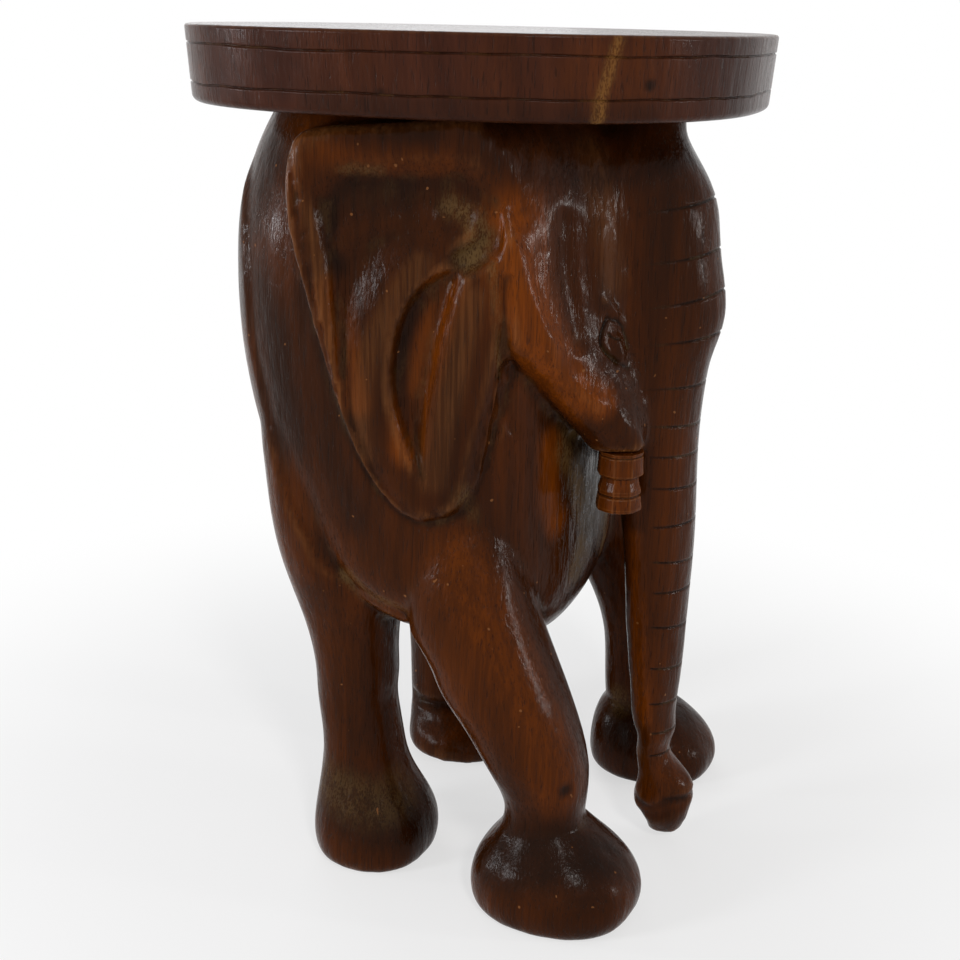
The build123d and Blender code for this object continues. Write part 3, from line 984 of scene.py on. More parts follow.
@dataclass(frozen=True)
class FaceLines:
    """Incised lines across the face and trunk, sagging a little at the middle.

    Each level gives a line's height at the middle and at the panel's side.
    """

    levels: Path = (
        (363.7, 359.2), (338.9, 334.3), (318.6, 312.8), (296.8, 293.9), (270.6, 271.1),
        (249.1, 251.7), (233.4, 235.1), (215.8, 218.3), (196.3, 196.7), (174.1, 178.0),
        (157.9, 159.7), (136.0, 140.4), (111.2, 116.0), (90.0, 93.5), (72.0, 74.9), (57.0, 59.2),
    )
    panel_side: float = 30.0
    widest: float = 1.3
    sag: float = 1.5
    fade: Span = (0.7, 1.25)
    front_facing: Span = (0.15, 0.45)
    front_band: Span = (-70.0, -84.0)
    depth: float = 0.8
    half_width: float = 1.0

    def nearness(self, figure: Sculpture, reach: float) -> np.ndarray:
        """Tells how near the front's vertices lie to a line.

        Args:
            figure: The carving.
            reach: How far from a line the nearness ends.

        Returns:
            1 on a line, falling to 0 at the reach, for each vertex.
        """
        across = np.abs(figure.place[:, 0]) / self.panel_side
        facing = smoothstep(*self.front_facing, -figure.normals()[:, 1])
        front = facing * smoothstep(*self.front_band, figure.place[:, 1])
        near = np.zeros(len(across))
        for middle, side in self.levels:
            level = middle + (side - middle) * np.clip(across, 0.0, self.widest) ** self.sag
            gap = np.abs(figure.place[:, 2] - level)
            near = np.maximum(near, 1.0 - smoothstep(0.0, reach, gap))
        return near * front * (1.0 - smoothstep(*self.fade, across))

    def carve(self, figure: Sculpture) -> np.ndarray:
        """Presses the lines in.

        Args:
            figure: The carving.

        Returns:
            How deep each vertex went, as a share of the full depth.
        """
        pressed = self.nearness(figure, self.half_width)
        figure.press(self.depth * pressed)
        return pressed


@dataclass(frozen=True)
class FlankRidge:
    """The edge where the shoulder's hide lies over the flank."""

    path: Path = (
        (92, 345), (89, 326), (87, 290), (82, 269), (76, 245), (70, 225), (64, 209),
        (54, 191), (48, 181), (39, 173), (29, 166), (18, 162), (7, 158), (-6, 152),
    )
    height: float = 2.4
    step: float = 3.0
    plateau: float = 4.0
    fade: float = 34.0
    flank_band: Span = (-62.0, -78.0)
    flank_facing: Span = (0.3, 0.6)
    flank_front: Span = (-12.0, 4.0)

    def carve(self, figure: Sculpture, side: int) -> None:
        """Raises the hide in front of the path.

        Args:
            figure: The carving.
            side: 1 for the right flank, -1 for the left.
        """
        place = figure.place * (side, 1.0, 1.0)
        gap = side_of_path(place[:, 1:], rounded_path(self.path))
        flank = smoothstep(*self.flank_band, place[:, 0])
        flank = flank * smoothstep(*self.flank_facing, -figure.normals()[:, 0] * side)
        flank = flank * smoothstep(*self.flank_front, place[:, 1])
        inner = smoothstep(-0.5 * self.step, 0.5 * self.step, gap)
        raised = inner * (1.0 - smoothstep(self.plateau, self.fade, gap))
        figure.press(-self.height * raised * flank)


@dataclass(frozen=True)
class Gouge:
    """A groove (or, with a negative depth, a bead) along a path in space.

    A sharp one falls straight to its middle, the others are rounded.
    """

    path: Path
    depth: float
    half_width: float
    sharp: bool = False
    both: bool = True

    def carve(self, figure: Sculpture) -> np.ndarray:
        """Works one side of the elephant or both.

        Args:
            figure: The carving.

        Returns:
            The stroke's mask: 1 on the path, 0 past its half width.
        """
        touched = np.zeros(len(figure.place))
        for side in (1, -1) if self.both else (1,):
            path = figure.settle(np.array(rounded_path(self.path)) * (side, 1.0, 1.0))
            gap = distance_to_path(figure.place, path)
            share = np.clip(1.0 - gap / self.half_width, 0.0, 1.0)
            touched = np.maximum(touched, share if self.sharp else smoothstep(0.0, 1.0, share))
        figure.press(self.depth * touched)
        return touched


@dataclass(frozen=True)
class Stain:
    """A soft patch of one mask along a path, on one side or both; the masks hold tones, dust, painted shade
    and painted highlights.

    It has its full strength over the core, a share of its reach.
    """

    mask: Mask
    path: Path
    reach: float
    strength: float
    both: bool = True
    core: float = 0.25

    def paint(self, figure: Sculpture, masks: dict[Mask, np.ndarray]) -> None:
        """Adds the patch to its mask.

        Args:
            figure: The piece.
            masks: The masks by name; this stain's own one is replaced.
        """
        path = rounded_path(self.path)
        for side in (1, -1) if self.both else (1,):
            gap = distance_to_path(figure.place * (side, 1.0, 1.0), path)
            patch = self.strength * (1.0 - smoothstep(self.core * self.reach, self.reach, gap))
            masks[self.mask] = np.maximum(masks[self.mask], patch)


def painted(figure: Sculpture, stains: tuple[Stain, ...]) -> dict[Mask, np.ndarray]:
    """Paints stains over clean masks.

    Args:
        figure: The piece.
        stains: The stains, in order.

    Returns:
        One number for each vertex, by mask.
    """
    masks = {mask: np.zeros(len(figure.place)) for mask in Mask}
    for stain in stains:
        stain.paint(figure, masks)
    return masks


EYE_GOUGES = (
    Gouge([(-51, -82, 318), (-46, -86, 313), (-41, -90, 305)], -1.0, 3.5),
    Gouge([(-45, -87, 297), (-44, -88, 291)], -2.0, 6.0),
    Gouge(
        [(-49, -84, 309), (-52, -82, 303), (-53, -81, 297), (-50, -83, 291), (-46, -86, 287)],
        2.2,
        1.7,
        sharp=True,
    ),
    Gouge([(-46, -86, 287), (-42, -89, 284), (-38, -92, 283)], 0.9, 1.2, sharp=True),
    Gouge([(-49, -84, 309), (-44, -88, 306), (-40, -91, 300), (-39, -92, 293)], 0.6, 1.3, sharp=True),
    Gouge([(-49, -84, 301), (-46, -86, 298), (-43, -88, 297)], 0.8, 1.0, sharp=True),
)

HEAD_GOUGES = (
    Gouge([(-69, -67, 355), (-69, -67, 340), (-68, -68, 320), (-65, -70, 300)], 1.5, 10.0),
    Gouge([(-52, -80, 350), (-52, -80, 320)], -1.2, 10.0),
    Gouge(
        [
            (-96, -45, 361), (-92, -48, 345), (-87, -53, 322), (-79, -59, 302), (-70, -66, 285),
            (-55, -78, 268),
        ],
        -1.6,
        7.0,
    ),
    Gouge(
        [(-100, -41, 368), (-99, -43, 342), (-97, -47, 309), (-88, -44, 276), (-80, -46, 256)],
        1.6,
        4.0,
        sharp=True,
    ),
)

LEG_GOUGES = (
    Gouge(
        [(-15, -108, 22), (-14, -113, 21), (-13, -119, 23), (-12, -124, 27), (-8, -129, 28)],
        1.3,
        5.5,
        both=False,
    ),
    Gouge(
        [
            (-14, -101, 32), (-15, -107, 28), (-16, -112, 26), (-15, -118, 28), (-13, -122, 32),
            (-10, -128, 33), (-5, -132, 32), (4, -133, 33),
        ],
        2.0,
        2.2,
        sharp=True,
        both=False,
    ),
    Gouge(
        [(52, 62, 33), (49, 56, 32), (45, 45, 31), (47, 33, 31), (54, 22, 32)],
        2.6,
        4.0,
        sharp=True,
        both=False,
    ),
    Gouge([(-99, -87, 78)], 1.4, 3.0, both=False),
)

TAIL_GOUGES = (
    Gouge([(0, 98, 392), (0, 110, 368)], -1.2, 20.0, both=False),
    Gouge(
        [(0, 98, 392), (0, 110, 368), (0, 118, 330), (0, 120, 296), (0, 112, 240), (0, 102, 214)],
        -2.4,
        10.5,
        both=False,
    ),
    Gouge([(0, 110, 234), (0, 102, 214)], -2.4, 14.0, both=False),
    Gouge([(-10, 108, 372), (-9, 118, 330), (-9, 119, 296), (-8, 112, 248)], 1.1, 3.4),
    Gouge([(-8, 112, 248), (-11, 107, 230), (-10, 100, 214), (-4, 96, 206)], 1.4, 3.4),
)

STAINS = (
    Stain(Mask.WARM, [(-92, -51, 355), (-92, -56, 323), (-81, -64, 291), (-70, -72, 276)], 24.0, 0.85),
    Stain(Mask.WARM, [(-79, -63, 287), (-69, -74, 280), (-61, -84, 271)], 14.0, 0.9),
    Stain(Mask.WARM, [(-104, -20, 327), (-106, -14, 303), (-108, -7, 274), (-110, -5, 250)], 13.0, 0.8),
    Stain(Mask.WARM, [(-116, 32, 324), (-115, 26, 296), (-114, 21, 272)], 12.0, 0.5),
    Stain(Mask.WARM, [(-117, 34, 388), (-111, 9, 385), (-104, -17, 383)], 12.0, 0.3),
    Stain(Mask.WARM, [(-108, -31, 197), (-104, -54, 157), (-103, -73, 117), (-101, -84, 79)], 24.0, 0.45),
    # Painted shade over the face and trunk front, partly a darker tone there.
    Stain(Mask.SHADE_AND_DARK_TONE, [(-20, -105, 380), (-15, -115, 320), (0, -118, 260)], 34.0, 0.5),
    Stain(Mask.SHADE_AND_DARK_TONE, [(-6, -122, 240), (-5, -120, 155), (-5, -118, 80)], 18.0, 0.35),
    # The rear legs darker.
    Stain(Mask.SHADE_AND_DARK_TONE, [(-95, 51, 157), (-91, 39, 123), (-87, 32, 81)], 22.0, 0.3),
    Stain(Mask.WARM, [(-59, -59, 245), (-60, -59, 221), (-54, -61, 204)], 14.0, 0.7),
    # The rump darker.
    Stain(Mask.SHADE_AND_DARK_TONE, [(-86, 83, 378), (-80, 100, 332), (-102, 76, 298), (-99, 72, 252)], 34.0, 0.7),
    # Painted shade on the flank beside the ear's rear edge.
    Stain(Mask.SHADE_AND_DARK_TONE, [(-110, 51, 317), (-110, 47, 278), (-109, 37, 239), (-108, 27, 209)], 15.0, 0.5),
    # Painted shade under the seat.
    Stain(Mask.SHADE_AND_DARK_TONE, [(-104, 4, 400), (-80, -50, 402), (-30, -85, 402), (0, -90, 402)], 16.0, 0.6),
    # The feet darker towards the bottom.
    Stain(Mask.SHADE_AND_DARK_TONE, [(-94, 41, 40), (-93, 18, 32), (-75, 2, 26), (-60, 40, 20)], 30.0, 0.75),
    Stain(Mask.SHADE_AND_DARK_TONE, [(-106, -50, 33), (-106, -77, 40), (-89, -104, 35), (-60, -80, 30)], 26.0, 0.75),
    Stain(Mask.SHADE_AND_DARK_TONE, [(70, -90, 20), (80, -60, 20), (66, 30, 20)], 30.0, 0.6),
    # Darker above the eye.
    Stain(Mask.SHADE_AND_DARK_TONE, [(-60, -86, 350), (-52, -84, 318)], 9.0, 0.5),
    Stain(Mask.DUSTY, [(-104, -20, 365), (-101, -31, 361), (-100, -35, 350), (-101, -29, 340)], 9.0, 0.7),
    Stain(Mask.DUSTY, [(-99, -37, 368), (-100, -41, 342), (-99, -45, 309), (-90, -43, 284)], 3.0, 0.5),
    Stain(
        Mask.DUSTY,
        [(-44, -65, 240), (-32, -67, 222), (-24, -68, 205), (-18, -68, 188), (-26, -66, 170)],
        17.0,
        0.85,
    ),
    Stain(Mask.DUSTY, [(-10, -68, 210), (-5, -69, 189), (-14, -68, 176)], 16.0, 0.7),
    Stain(Mask.DUSTY, [(-84, 50, 46), (-93, 36, 42), (-89, 20, 40), (-78, 13, 44)], 20.0, 0.3, both=False),
    Stain(Mask.DUSTY, [(62, -72, 52), (68, -76, 32), (74, -82, 16)], 11.0, 0.6, both=False),
    Stain(Mask.DUSTY, [(-94, 37, 173), (-88, 25, 160), (-89, 11, 155), (-75, 23, 142)], 6.0, 0.35),
    Stain(Mask.DUSTY, [(-117, 34, 381), (-112, 9, 379)], 4.5, 0.35),
    # A dark spot in a small dent on the right front leg.
    Stain(Mask.SHADE_AND_DARK_TONE, [(-99, -87, 78)], 6.0, 1.0, both=False),
    # Painted shade in the groove across the trunk's tip.
    Stain(
        Mask.SHADE_AND_DARK_TONE,
        [(-14, -101, 32), (-16, -112, 26), (-15, -118, 28), (-13, -122, 32), (-5, -132, 32)],
        3.0,
        0.9,
        both=False,
    ),
    # Painted shade under the trunk's tip.
    Stain(Mask.SHADE_AND_DARK_TONE, [(-12, -112, 16), (-9, -122, 18)], 14.0, 0.5),
    # Painted shade in the upper hollow of the ears.
    Stain(Mask.SHADE_AND_DARK_TONE, [(-116, 22, 366), (-110, 0, 368)], 14.0, 0.45),
    Stain(Mask.WARM, [(-24, -98, 190), (-22, -103, 119), (-18, -106, 82)], 7.0, 0.6),
    Stain(Mask.DUSTY, [(-102, 33, 176), (-100, 20, 165), (-102, 3, 161)], 6.0, 0.5),
    # Painted highlight along the ear's roll near its front edge, partly wear.
    Stain(Mask.EDGE, [(-103, -32, 323), (-104, -27, 295), (-106, -19, 260), (-107, -16, 235)], 10.0, 0.6),
    # Painted highlight along the crest of the ear's fold, partly wear.
    Stain(
        Mask.EDGE,
        [
            (-109, -10, 338), (-111, -1, 326), (-113, 6, 312), (-115, 12, 298), (-116, 17, 270),
            (-116, 16, 245),
        ],
        9.0,
        0.5,
    ),
    # Painted highlight on the upper front of the head, partly wear.
    Stain(Mask.EDGE, [(-48, -70, 387), (-49, -76, 369), (-47, -80, 346), (-44, -83, 327)], 13.0, 0.4),
    Stain(Mask.DUSTY, [(-119, 50, 382), (-118, 38, 391), (-113, 26, 397)], 6.0, 0.45),
    Stain(Mask.DUSTY, [(-101, -30, 228), (-100, -33, 220), (-100, -37, 213)], 8.0, 0.4),
)


@dataclass(frozen=True)
class Carving:
    """The elephant: one log section, refined from the plain solid.

    A dressing is how the skin is smoothed and then brought out again, each
    as a weight and a number of rounds.
    """

    cell: float = 2.6
    refinements: tuple[Span, ...] = ((4.2, 15.0), (2.3, 11.0))
    rough_dressing: Dressing = ((0.5, 3), (0.9, 5))
    fine_dressing: Dressing = ((0.3, 2), (0.5, 2))
    eye: Triple = (-46.0, -85.0, 297.0)
    temple: Path = ((-44, -86, 385), (-42, -90, 330), (-40, -92, 300), (-37, -93, 272), (-33, -94, 256))
    temple_reach: Span = (9.0, 20.0)
    temple_fill: float = 1.5
    temple_softening: tuple[float, int] = (0.7, 60)
    ear_join: Path = ((-49, 352), (-50, 375), (-50, 404))
    join_reach: Span = (7.0, 17.0)
    join_sides: Span = (-60.0, -72.0)
    join_heights: Span = (350.0, 372.0)
    join_softening: tuple[float, int] = (0.7, 45)
    broad_rounds: int = 14
    broad_hollow: Span = (0.15, 1.1)
    fine_rounds: int = 3
    fine_hollow: Span = (0.08, 0.5)
    fine_edge: Span = (0.16, 0.6)
    cut_shade: float = 1.8
    ear: EarRelief = EarRelief()
    lines: FaceLines = FaceLines()
    flank: FlankRidge = FlankRidge()

    def blank(self) -> bpy.types.Mesh:
        """Lays an even skin over the plain solid.

        Returns:
            The skin's mesh, finer near the incised lines and the eyes.
        """
        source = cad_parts["elephant_carving"].data.copy()
        work = bmesh.new()
        work.from_mesh(source)
        bmesh.ops.remove_doubles(work, verts=work.verts, dist=WELD)
        work.to_mesh(source)
        work.free()
        rough = add_object("blank", source)
        skin = rough.modifiers.new("skin", "REMESH")
        skin.mode, skin.voxel_size = "VOXEL", self.cell * MM
        seen = rough.evaluated_get(bpy.context.evaluated_depsgraph_get())
        mesh = bpy.data.meshes.new_from_object(seen)
        bpy.data.objects.remove(rough)
        mesh.materials.clear()
        for line_reach, eye_reach in self.refinements:
            self.refine(mesh, line_reach, eye_reach)
        return mesh

    def refine(self, mesh: bpy.types.Mesh, line_reach: float, eye_reach: float) -> None:
        """Splits the edges near the incised lines and the eyes.

        Args:
            mesh: The skin.
            line_reach: How far from a line edges are split.
            eye_reach: How far from the middle of an eye edges are split.
        """
        figure = Sculpture(mesh)
        mirrored = figure.place.copy()
        mirrored[:, 0] = -np.abs(mirrored[:, 0])
        chosen = self.lines.nearness(figure, line_reach) > 0
        chosen |= np.linalg.norm(mirrored - self.eye, axis=1) < eye_reach
        work = bmesh.new()
        work.from_mesh(mesh)
        bmesh.ops.triangulate(work, faces=work.faces)
        edges = [e for e in work.edges if all(chosen[v.index] for v in e.verts)]
        bmesh.ops.subdivide_edges(work, edges=edges, cuts=1, use_grid_fill=True)
        bmesh.ops.triangulate(work, faces=work.faces)
        work.to_mesh(mesh)
        work.free()

    def carve(self, figure: Sculpture) -> dict[Mask, np.ndarray]:
        """Works the skin with every tool.

        Args:
            figure: The skin.

        Returns:
            One number for each vertex, by mask.
        """
        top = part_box("elephant_carving")[1][2] / MM
        self.dress(figure, self.rough_dressing)
        for side in (1, -1):
            self.ear.carve(figure, side)
            self.flank.carve(figure, side)
        self.join_ear(figure)
        self.fill_temple(figure)
        for gouge in HEAD_GOUGES + LEG_GOUGES + TAIL_GOUGES:
            gouge.carve(figure)
        self.dress(figure, self.fine_dressing)
        cuts = self.lines.carve(figure)
        for gouge in EYE_GOUGES:
            touched = gouge.carve(figure)
            if gouge.depth > 0:
                cuts = np.maximum(cuts, touched)
        figure.place[:, 2] = np.clip(figure.place[:, 2], 0.0, top)
        masks = painted(figure, STAINS)
        # Hollows get dust and painted shade, cut lines get darker painted shade, and edges go pale as wear
        # and painted highlight.
        broad = figure.spread(figure.relief(self.broad_rounds), 1)
        fine = figure.spread(figure.relief(self.fine_rounds), 1)
        masks[Mask.EDGE] = np.maximum(masks[Mask.EDGE], smoothstep(*self.fine_edge, -fine))
        hollow = np.maximum(smoothstep(*self.broad_hollow, broad), smoothstep(*self.fine_hollow, fine))
        masks[Mask.HOLLOW] = np.maximum(hollow, self.cut_shade * cuts)
        return masks

    def dress(self, figure: Sculpture, dressing: Dressing) -> None:
        """Smooths the skin, then presses its relief deeper.

        Args:
            figure: The skin.
            dressing: Weight and rounds of the one and of the other.
        """
        softening, (share, rounds) = dressing
        figure.smooth(*softening)
        figure.press(share * figure.relief(rounds))

    def join_ear(self, figure: Sculpture) -> None:
        """Runs the ear's top band into the head without a step.

        Args:
            figure: The skin.
        """
        share, rounds = self.join_softening
        for side in (1, -1):
            place = figure.place * (side, 1.0, 1.0)
            near = 1.0 - smoothstep(*self.join_reach, distance_to_path(place[:, 1:], self.ear_join))
            weight = near * smoothstep(*self.join_sides, place[:, 0])
            weight = weight * smoothstep(*self.join_heights, place[:, 2])
            figure.smooth(share * weight, rounds)

    def fill_temple(self, figure: Sculpture) -> None:
        """Fills the hollow between the face and the cheek to a soft corner.

        Args:
            figure: The skin.
        """
        share, rounds = self.temple_softening
        for side in (1, -1):
            place = figure.place * (side, 1.0, 1.0)
            near = 1.0 - smoothstep(*self.temple_reach, distance_to_path(place, self.temple))
            figure.press(-self.temple_fill * near)
            figure.smooth(share * near, rounds)

    def build(self) -> bpy.types.Object:
        """Carves the elephant and puts it in the frame.

        Returns:
            The piece.
        """
        mesh = self.blank()
        figure = Sculpture(mesh)
        masks = self.carve(figure)
        figure.write(mesh)
        for mask, values in masks.items():
            store(mesh, mask.value, values)
        mesh.shade_smooth()
        piece = add_object("elephant", mesh)
        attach(piece, "root")
        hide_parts("elephant_carving")
        return piece


# ------------------------------------------------------ seat and tusk stubs
class GeometryPen(NodePen):
    """Writes a Geometry Nodes tree and turns its result into a plain mesh."""

    def __init__(self, name: str, inputs: dict[str, float]) -> None:
        """Starts a tree with named number inputs.

        Args:
            name: The tree's name.
            inputs: The value of each input, by name; whole numbers stay whole.
        """
        super().__init__(bpy.data.node_groups.new(name, "GeometryNodeTree"))
        self.values = inputs
        self.sockets = {}
        for label, value in inputs.items():
            kind = "NodeSocketInt" if isinstance(value, int) else "NodeSocketFloat"
            self.sockets[label] = self.tree.interface.new_socket(label, in_out="INPUT", socket_type=kind)
        self.tree.interface.new_socket("Geometry", in_out="OUTPUT", socket_type="NodeSocketGeometry")
        self.given = self.node("NodeGroupInput").outputs

    def signed_power(self, value: Amount, exponent: float) -> Socket:
        """A power of a value's size, with the value's sign."""
        size = self.math("POWER", self.math("ABSOLUTE", value), exponent)
        return self.times(self.math("SIGN", value), size)

    def share(self, value: Amount, low: float, high: float) -> Socket:
        """How far a value lies from low to high, clamped to 0..1."""
        return self.clamp(self.math("DIVIDE", self.minus(value, low), self.minus(high, low)))

    def rounding(self, gap: Amount, radius: Amount) -> Socket:
        """How far a rounded edge stands in, at a distance from its corner.

        Args:
            gap: The distance from the corner.
            radius: The edge's radius.

        Returns:
            The inset's socket.
        """
        left = self.minus(radius, self.math("MINIMUM", gap, radius))
        inner = self.minus(self.times(radius, radius), self.times(left, left))
        return self.minus(radius, self.math("SQRT", self.math("MAXIMUM", inner, 0.0)))

    def combine(self, x: Amount, y: Amount, z: Amount) -> Socket:
        """The vector of three values."""
        return self.node("ShaderNodeCombineXYZ", {0: x, 1: y, 2: z}).outputs[0]

    def sheet(self) -> tuple[Socket, Socket, Socket]:
        """A grid, with fields that run 0..1 round it and 0..1 along it.

        Returns:
            The grid's socket, the field round it and the field along it.
        """
        sizes = {"Size X": 1.0, "Size Y": 1.0}
        sizes |= {"Vertices X": self.given["Around"], "Vertices Y": self.given["Along"]}
        grid = self.node("GeometryNodeMeshGrid", sizes).outputs["Mesh"]
        here = self.node("GeometryNodeInputPosition").outputs[0]
        apart = self.node("ShaderNodeSeparateXYZ", {0: here}).outputs
        return grid, self.plus(apart[0], 0.5), self.plus(apart[1], 0.5)

    def close(
        self, grid: Socket, place: Socket, masks: dict[Mask, Socket], material: bpy.types.Material
    ) -> bpy.types.Mesh:
        """Bends the grid to its places, closes it and evaluates the tree.

        Args:
            grid: The grid's socket.
            place: The field of places.
            masks: Fields to keep as attributes.
            material: The finish.

        Returns:
            The plain mesh.
        """
        for mask, value in masks.items():
            kept = {"Geometry": grid, "Name": mask.value, "Value": value}
            grid = self.node("GeometryNodeStoreNamedAttribute", kept, data_type="FLOAT").outputs[0]
        bent = self.node("GeometryNodeSetPosition", {"Geometry": grid, "Position": place}).outputs[0]
        shut = self.node("GeometryNodeMergeByDistance", {"Geometry": bent, "Distance": WELD}).outputs[0]
        soft = self.node("GeometryNodeSetShadeSmooth", {"Geometry": shut}).outputs[0]
        real = self.node("GeometryNodeRealizeInstances", {"Geometry": soft}).outputs[0]
        dressed = self.node("GeometryNodeSetMaterial", {"Geometry": real, "Material": material})
        self.fill(self.node("NodeGroupOutput"), {0: dressed.outputs[0]})
        holder = add_object("holder", bpy.data.meshes.new("holder"))
        modifier = holder.modifiers.new("shape", "NODES")
        modifier.node_group = self.tree
        for label, value in self.values.items():
            modifier[self.sockets[label].identifier] = value
        seen = holder.evaluated_get(bpy.context.evaluated_depsgraph_get())
        mesh = bpy.data.meshes.new_from_object(seen)
        bpy.data.objects.remove(holder)
        return mesh


SEAT_STAINS = (
    Stain(
        Mask.DUSTY,
        [(-112, -98, 438), (-114, -95, 425), (-115, -93, 415), (-115, -92, 404)],
        4.0,
        0.7,
        both=False,
    ),
    Stain(Mask.WARM, [(-118, -88, 425), (-100, -115, 425)], 22.0, 0.35),
    Stain(Mask.SHADE_AND_DARK_TONE, [(-140, -3, 415)], 3.0, 1.0, both=False),
    Stain(Mask.SHADE_AND_DARK_TONE, [(-101, -110, 420)], 4.0, 1.0, both=False),
    Stain(Mask.WARM, [(-60, -40, 440), (40, 60, 440)], 70.0, 0.25, both=False),
    # Darker along the rim's lower edge.
    Stain(Mask.SHADE_AND_DARK_TONE, [(-139, 30, 408), (-139, -30, 408), (-100, -120, 408)], 10.0, 0.4),
)


@dataclass(frozen=True)
class SeatSlab:
    """The seat: a slab of log with two hand-cut grooves round its rim.

    Grooves are given by their drop from the top. The turns are the shares of
    the sheet's length where the rim starts and ends; the two spans of the pale
    band, wear and painted highlight, rise and fall across the rim's upper corner
    in the same way.
    """

    power: float = 2.4
    draft: float = 2.5
    top_round: float = 1.8
    bottom_round: float = 3.5
    grooves: Span = (8.7, 26.2)
    groove_width: float = 0.75
    groove_depth: float = 1.1
    wander: float = 3.2
    hand_depth: float = 0.5
    turns: Span = (0.13, 0.87)
    wear_and_highlight_rise: Span = (0.84, 0.868)
    wear_and_highlight_fall: Span = (0.90, 0.872)
    wear_and_highlight_share: float = 0.6
    around: int = 401
    along: int = 171
    seed: float = 4.0

    def inputs(self, low: Vector, high: Vector) -> dict[str, float]:
        """Lists what the shape tree is fed with, in metres.

        Args:
            low: The low corner of the slab's box.
            high: The high corner.

        Returns:
            The value of each input, by name.
        """
        return {
            "Around": self.around,
            "Along": self.along,
            "Half Width": (high.x - low.x) / 2,
            "Half Length": (high.y - low.y) / 2,
            "Bottom": low.z,
            "Thickness": high.z - low.z,
            "Draft": self.draft * MM,
            "Top Round": self.top_round * MM,
            "Bottom Round": self.bottom_round * MM,
            "Groove Width": self.groove_width * MM,
            "Groove Depth": self.groove_depth * MM,
            "Wander": self.wander * MM,
            "Seed": self.seed,
        }

    def cut(self, pen: GeometryPen, ring: Socket, below: Socket) -> Socket:
        """Draws the two grooves, which stray up and down round the rim.

        Args:
            pen: The shape tree's pen.
            ring: A place that goes round the rim, for the noise.
            below: How far below the top the rim's places lie.

        Returns:
            A field of 1 in the middle of a groove and 0 beside it.
        """
        shares = []
        for index, drop in enumerate(self.grooves):
            shift = pen.stretch(ring, x=1.0 + index, z=1.0 + index)
            stray = pen.minus(pen.noise(shift, scale=2.3, detail=3.0, rough=0.6), 0.5)
            stray = pen.times(stray, pen.given["Wander"])
            level = pen.minus(pen.minus(below, drop * MM), stray)
            share = pen.math("DIVIDE", pen.math("ABSOLUTE", level), pen.given["Groove Width"])
            shares.append(pen.span(share, 1.0, 0.0))
        return pen.plus(*shares)

    def build(self, material: bpy.types.Material) -> bpy.types.Object:
        """Makes the slab and puts it in the frame.

        Args:
            material: Its finish.

        Returns:
            The piece.
        """
        low, high = (Vector(corner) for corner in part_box("seat_slab"))
        pen = GeometryPen("seat_slab_shape", self.inputs(low, high))
        grid, round_it, along = pen.sheet()
        turn = pen.times(round_it, 2 * math.pi)
        across = pen.signed_power(pen.math("COSINE", turn), 2 / self.power)
        forward = pen.signed_power(pen.math("SINE", turn), 2 / self.power)
        ring = pen.combine(across, forward, pen.given["Seed"])
        first_turn, last_turn = self.turns
        rise = pen.share(along, first_turn, last_turn)
        fall = pen.minus(1.0, rise)
        above = pen.times(rise, pen.given["Thickness"])
        below = pen.times(fall, pen.given["Thickness"])
        inset = pen.times(fall, pen.given["Draft"])
        inset = pen.plus(inset, pen.rounding(below, pen.given["Top Round"]))
        inset = pen.plus(inset, pen.rounding(above, pen.given["Bottom Round"]))
        cut = self.cut(pen, ring, below)
        chatter = pen.span(pen.noise(ring, scale=9.0), 0.3, 0.7, 0.55, 1.0)
        inset = pen.plus(inset, pen.times(pen.times(cut, chatter), pen.given["Groove Depth"]))
        hand = pen.minus(1.0, pen.noise(ring, scale=3.0, detail=3.0))
        inset = pen.plus(inset, pen.times(hand, self.hand_depth * MM))
        flat = pen.math("MINIMUM", pen.share(along, 0.0, first_turn), pen.share(along, 1.0, last_turn))
        reach_x = pen.times(pen.minus(pen.given["Half Width"], inset), flat)
        reach_y = pen.times(pen.minus(pen.given["Half Length"], inset), flat)
        level = pen.plus(pen.given["Bottom"], above)
        place = pen.combine(pen.times(across, reach_x), pen.times(forward, reach_y), level)
        # The rim's upper corner goes pale as wear and painted highlight; the grooves are darkened as
        # painted shade.
        rim = pen.times(pen.share(along, *self.wear_and_highlight_rise), pen.share(along, *self.wear_and_highlight_fall))
        masks = {Mask.HOLLOW: cut, Mask.EDGE: pen.times(rim, self.wear_and_highlight_share)}
        mesh = pen.close(grid, place, masks, material)
        self.paint(mesh)
        piece = add_object("seat", mesh)
        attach(piece, "root")
        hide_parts("seat_slab")
        return piece

    def paint(self, mesh: bpy.types.Mesh) -> None:
        """Stains the rim: a pale streak of sapwood, warm and dark patches.

        Args:
            mesh: The slab's mesh.
        """
        masks = painted(Sculpture(mesh), SEAT_STAINS)
        for mask in (Mask.DUSTY, Mask.WARM, Mask.SHADE_AND_DARK_TONE):
            store(mesh, mask.value, masks[mask])


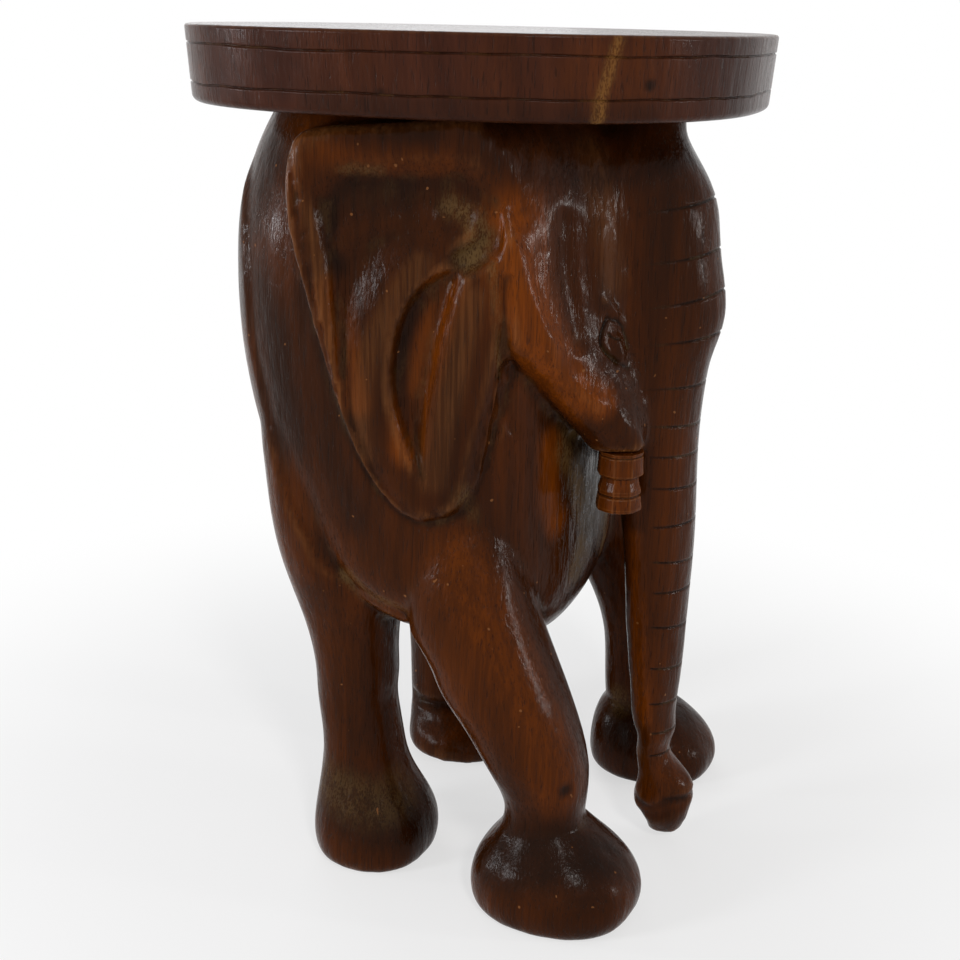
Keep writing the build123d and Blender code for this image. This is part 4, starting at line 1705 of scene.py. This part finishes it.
@dataclass(frozen=True)
class TuskStub:
    """A banded, faceted tusk stub that hangs under the cheek.

    A row of the profile is a share of the way along the skin, with the
    radius and the height there, as shares of the largest.
    """

    side: int = -1
    visible: float = 31.0
    facets: int = 8
    facet_share: float = 0.55
    edge_and_hollow_scale: Span = (0.003, 0.03)
    warmth: float = 0.45
    around: int = 145
    along: int = 161
    profile: tuple[Triple, ...] = (
        (0.00, 0.0, 0.0), (0.10, 0.90, 0.0), (0.14, 0.98, 0.02), (0.18, 1.00, 0.06),
        (0.28, 0.94, 0.24), (0.30, 0.84, 0.27), (0.32, 0.93, 0.30), (0.36, 0.93, 0.36),
        (0.46, 0.82, 0.50), (0.52, 0.80, 0.575), (0.535, 0.95, 0.60), (0.56, 1.00, 0.63),
        (0.70, 0.97, 0.80), (0.79, 0.96, 0.915), (0.805, 0.88, 0.935), (0.82, 0.95, 0.955),
        (0.86, 0.97, 1.0), (0.90, 0.80, 1.0), (1.00, 0.0, 1.0),
    )

    def build(self, material: bpy.types.Material) -> bpy.types.Object:
        """Makes the stub and puts it in the frame.

        Args:
            material: Its finish.

        Returns:
            The piece.
        """
        node = "tusk_stub_right" if self.side < 0 else "tusk_stub_left"
        low, high = (Vector(corner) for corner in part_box(node))
        middle = (low + high) / 2
        inputs = {
            "Around": self.around,
            "Along": self.along,
            "Middle X": middle.x,
            "Middle Y": middle.y,
            "Bottom": low.z,
            "Height": self.visible * MM,
            "Radius": (high.x - low.x) / 2,
            "Facet Share": self.facet_share,
        }
        pen = GeometryPen(f"{node}_shape", inputs)
        grid, round_it, along = pen.sheet()
        turn = pen.times(round_it, 2 * math.pi)
        facet = 2 * math.pi / self.facets
        inside = pen.minus(pen.math("MODULO", turn, facet), facet / 2)
        flat = pen.math("DIVIDE", math.cos(facet / 2), pen.math("COSINE", inside))
        drawn = pen.minus(1.0, pen.times(pen.minus(1.0, flat), pen.given["Facet Share"]))
        spread = pen.times(self.curve(pen, along, 1), pen.given["Radius"])
        spread = pen.times(spread, drawn)
        level = pen.times(self.curve(pen, along, 2), pen.given["Height"])
        place = pen.combine(
            pen.plus(pen.given["Middle X"], pen.times(spread, pen.math("COSINE", turn))),
            pen.plus(pen.given["Middle Y"], pen.times(spread, pen.math("SINE", turn))),
            pen.plus(pen.given["Bottom"], level),
        )
        mesh = pen.close(grid, place, {}, material)
        fine = Sculpture(mesh).relief(3)
        # Edges go pale as wear and painted highlight; hollows are darkened as painted shade.
        store(mesh, Mask.EDGE.value, smoothstep(*self.edge_and_hollow_scale, -fine))
        store(mesh, Mask.HOLLOW.value, smoothstep(*self.edge_and_hollow_scale, fine))
        store(mesh, Mask.WARM.value, np.full(len(fine), self.warmth))
        piece = add_object(node.replace("stub", "carved"), mesh)
        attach(piece, "root")
        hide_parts(node)
        return piece

    def curve(self, pen: GeometryPen, along: Socket, column: int) -> Socket:
        """One column of the profile as a curve of the way along.

        Args:
            pen: The shape tree's pen.
            along: The field along the sheet.
            column: 1 for the radius, 2 for the height.

        Returns:
            The curve's value.
        """
        made = pen.node("ShaderNodeFloatCurve", {"Value": along})
        points = made.mapping.curves[0].points
        for point, row in ((points[0], self.profile[0]), (points[-1], self.profile[-1])):
            point.location = (row[0], row[column])
        for row in self.profile[1:-1]:
            points.new(row[0], row[column])
        for point in points:
            point.handle_type = "VECTOR"
        made.mapping.update()
        return made.outputs[0]


def main() -> None:
    """Builds the stool's looks and logs the vertex count of each piece it remakes."""
    logging.basicConfig(level=logging.INFO, format="%(name)s: %(message)s")
    make_grain_group()
    make_tool_marks_group()
    make_dust_group()
    Studio().build()
    carving = Carving().build()
    carving.data.materials.append(Hardwood("lacquered_carving").make())
    log.info("elephant: %d vertices", len(carving.data.vertices))
    seat_finish = Hardwood(
        "lacquered_seat",
        dark=colour(40, 18, 11),
        body=colour(62, 31, 19),
        warm=colour(86, 42, 13),
        dust=colour(128, 88, 42),
        pith=(0.02, -0.03, 0.0),
        figure_share=0.75,
        facet_relief=0.0002,
        ripple_relief=0.00016,
        fleck_share=0.0,
    )
    seat = SeatSlab().build(seat_finish.make())
    log.info("seat: %d vertices", len(seat.data.vertices))
    plug_finish = Hardwood("tusk_finish").make()
    for side in (-1, 1):
        stub = TuskStub(side).build(plug_finish)
        log.info("%s: %d vertices", stub.name, len(stub.data.vertices))
    dowel_finish = Hardwood("dowel_finish", blotch_share=0.2, coat_weight=0.05).make()
    for name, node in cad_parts.items():
        if name.startswith("seat_dowel"):
            node.data.materials.clear()
            node.data.materials.append(dowel_finish)


if __name__ == "__main__":
    main()
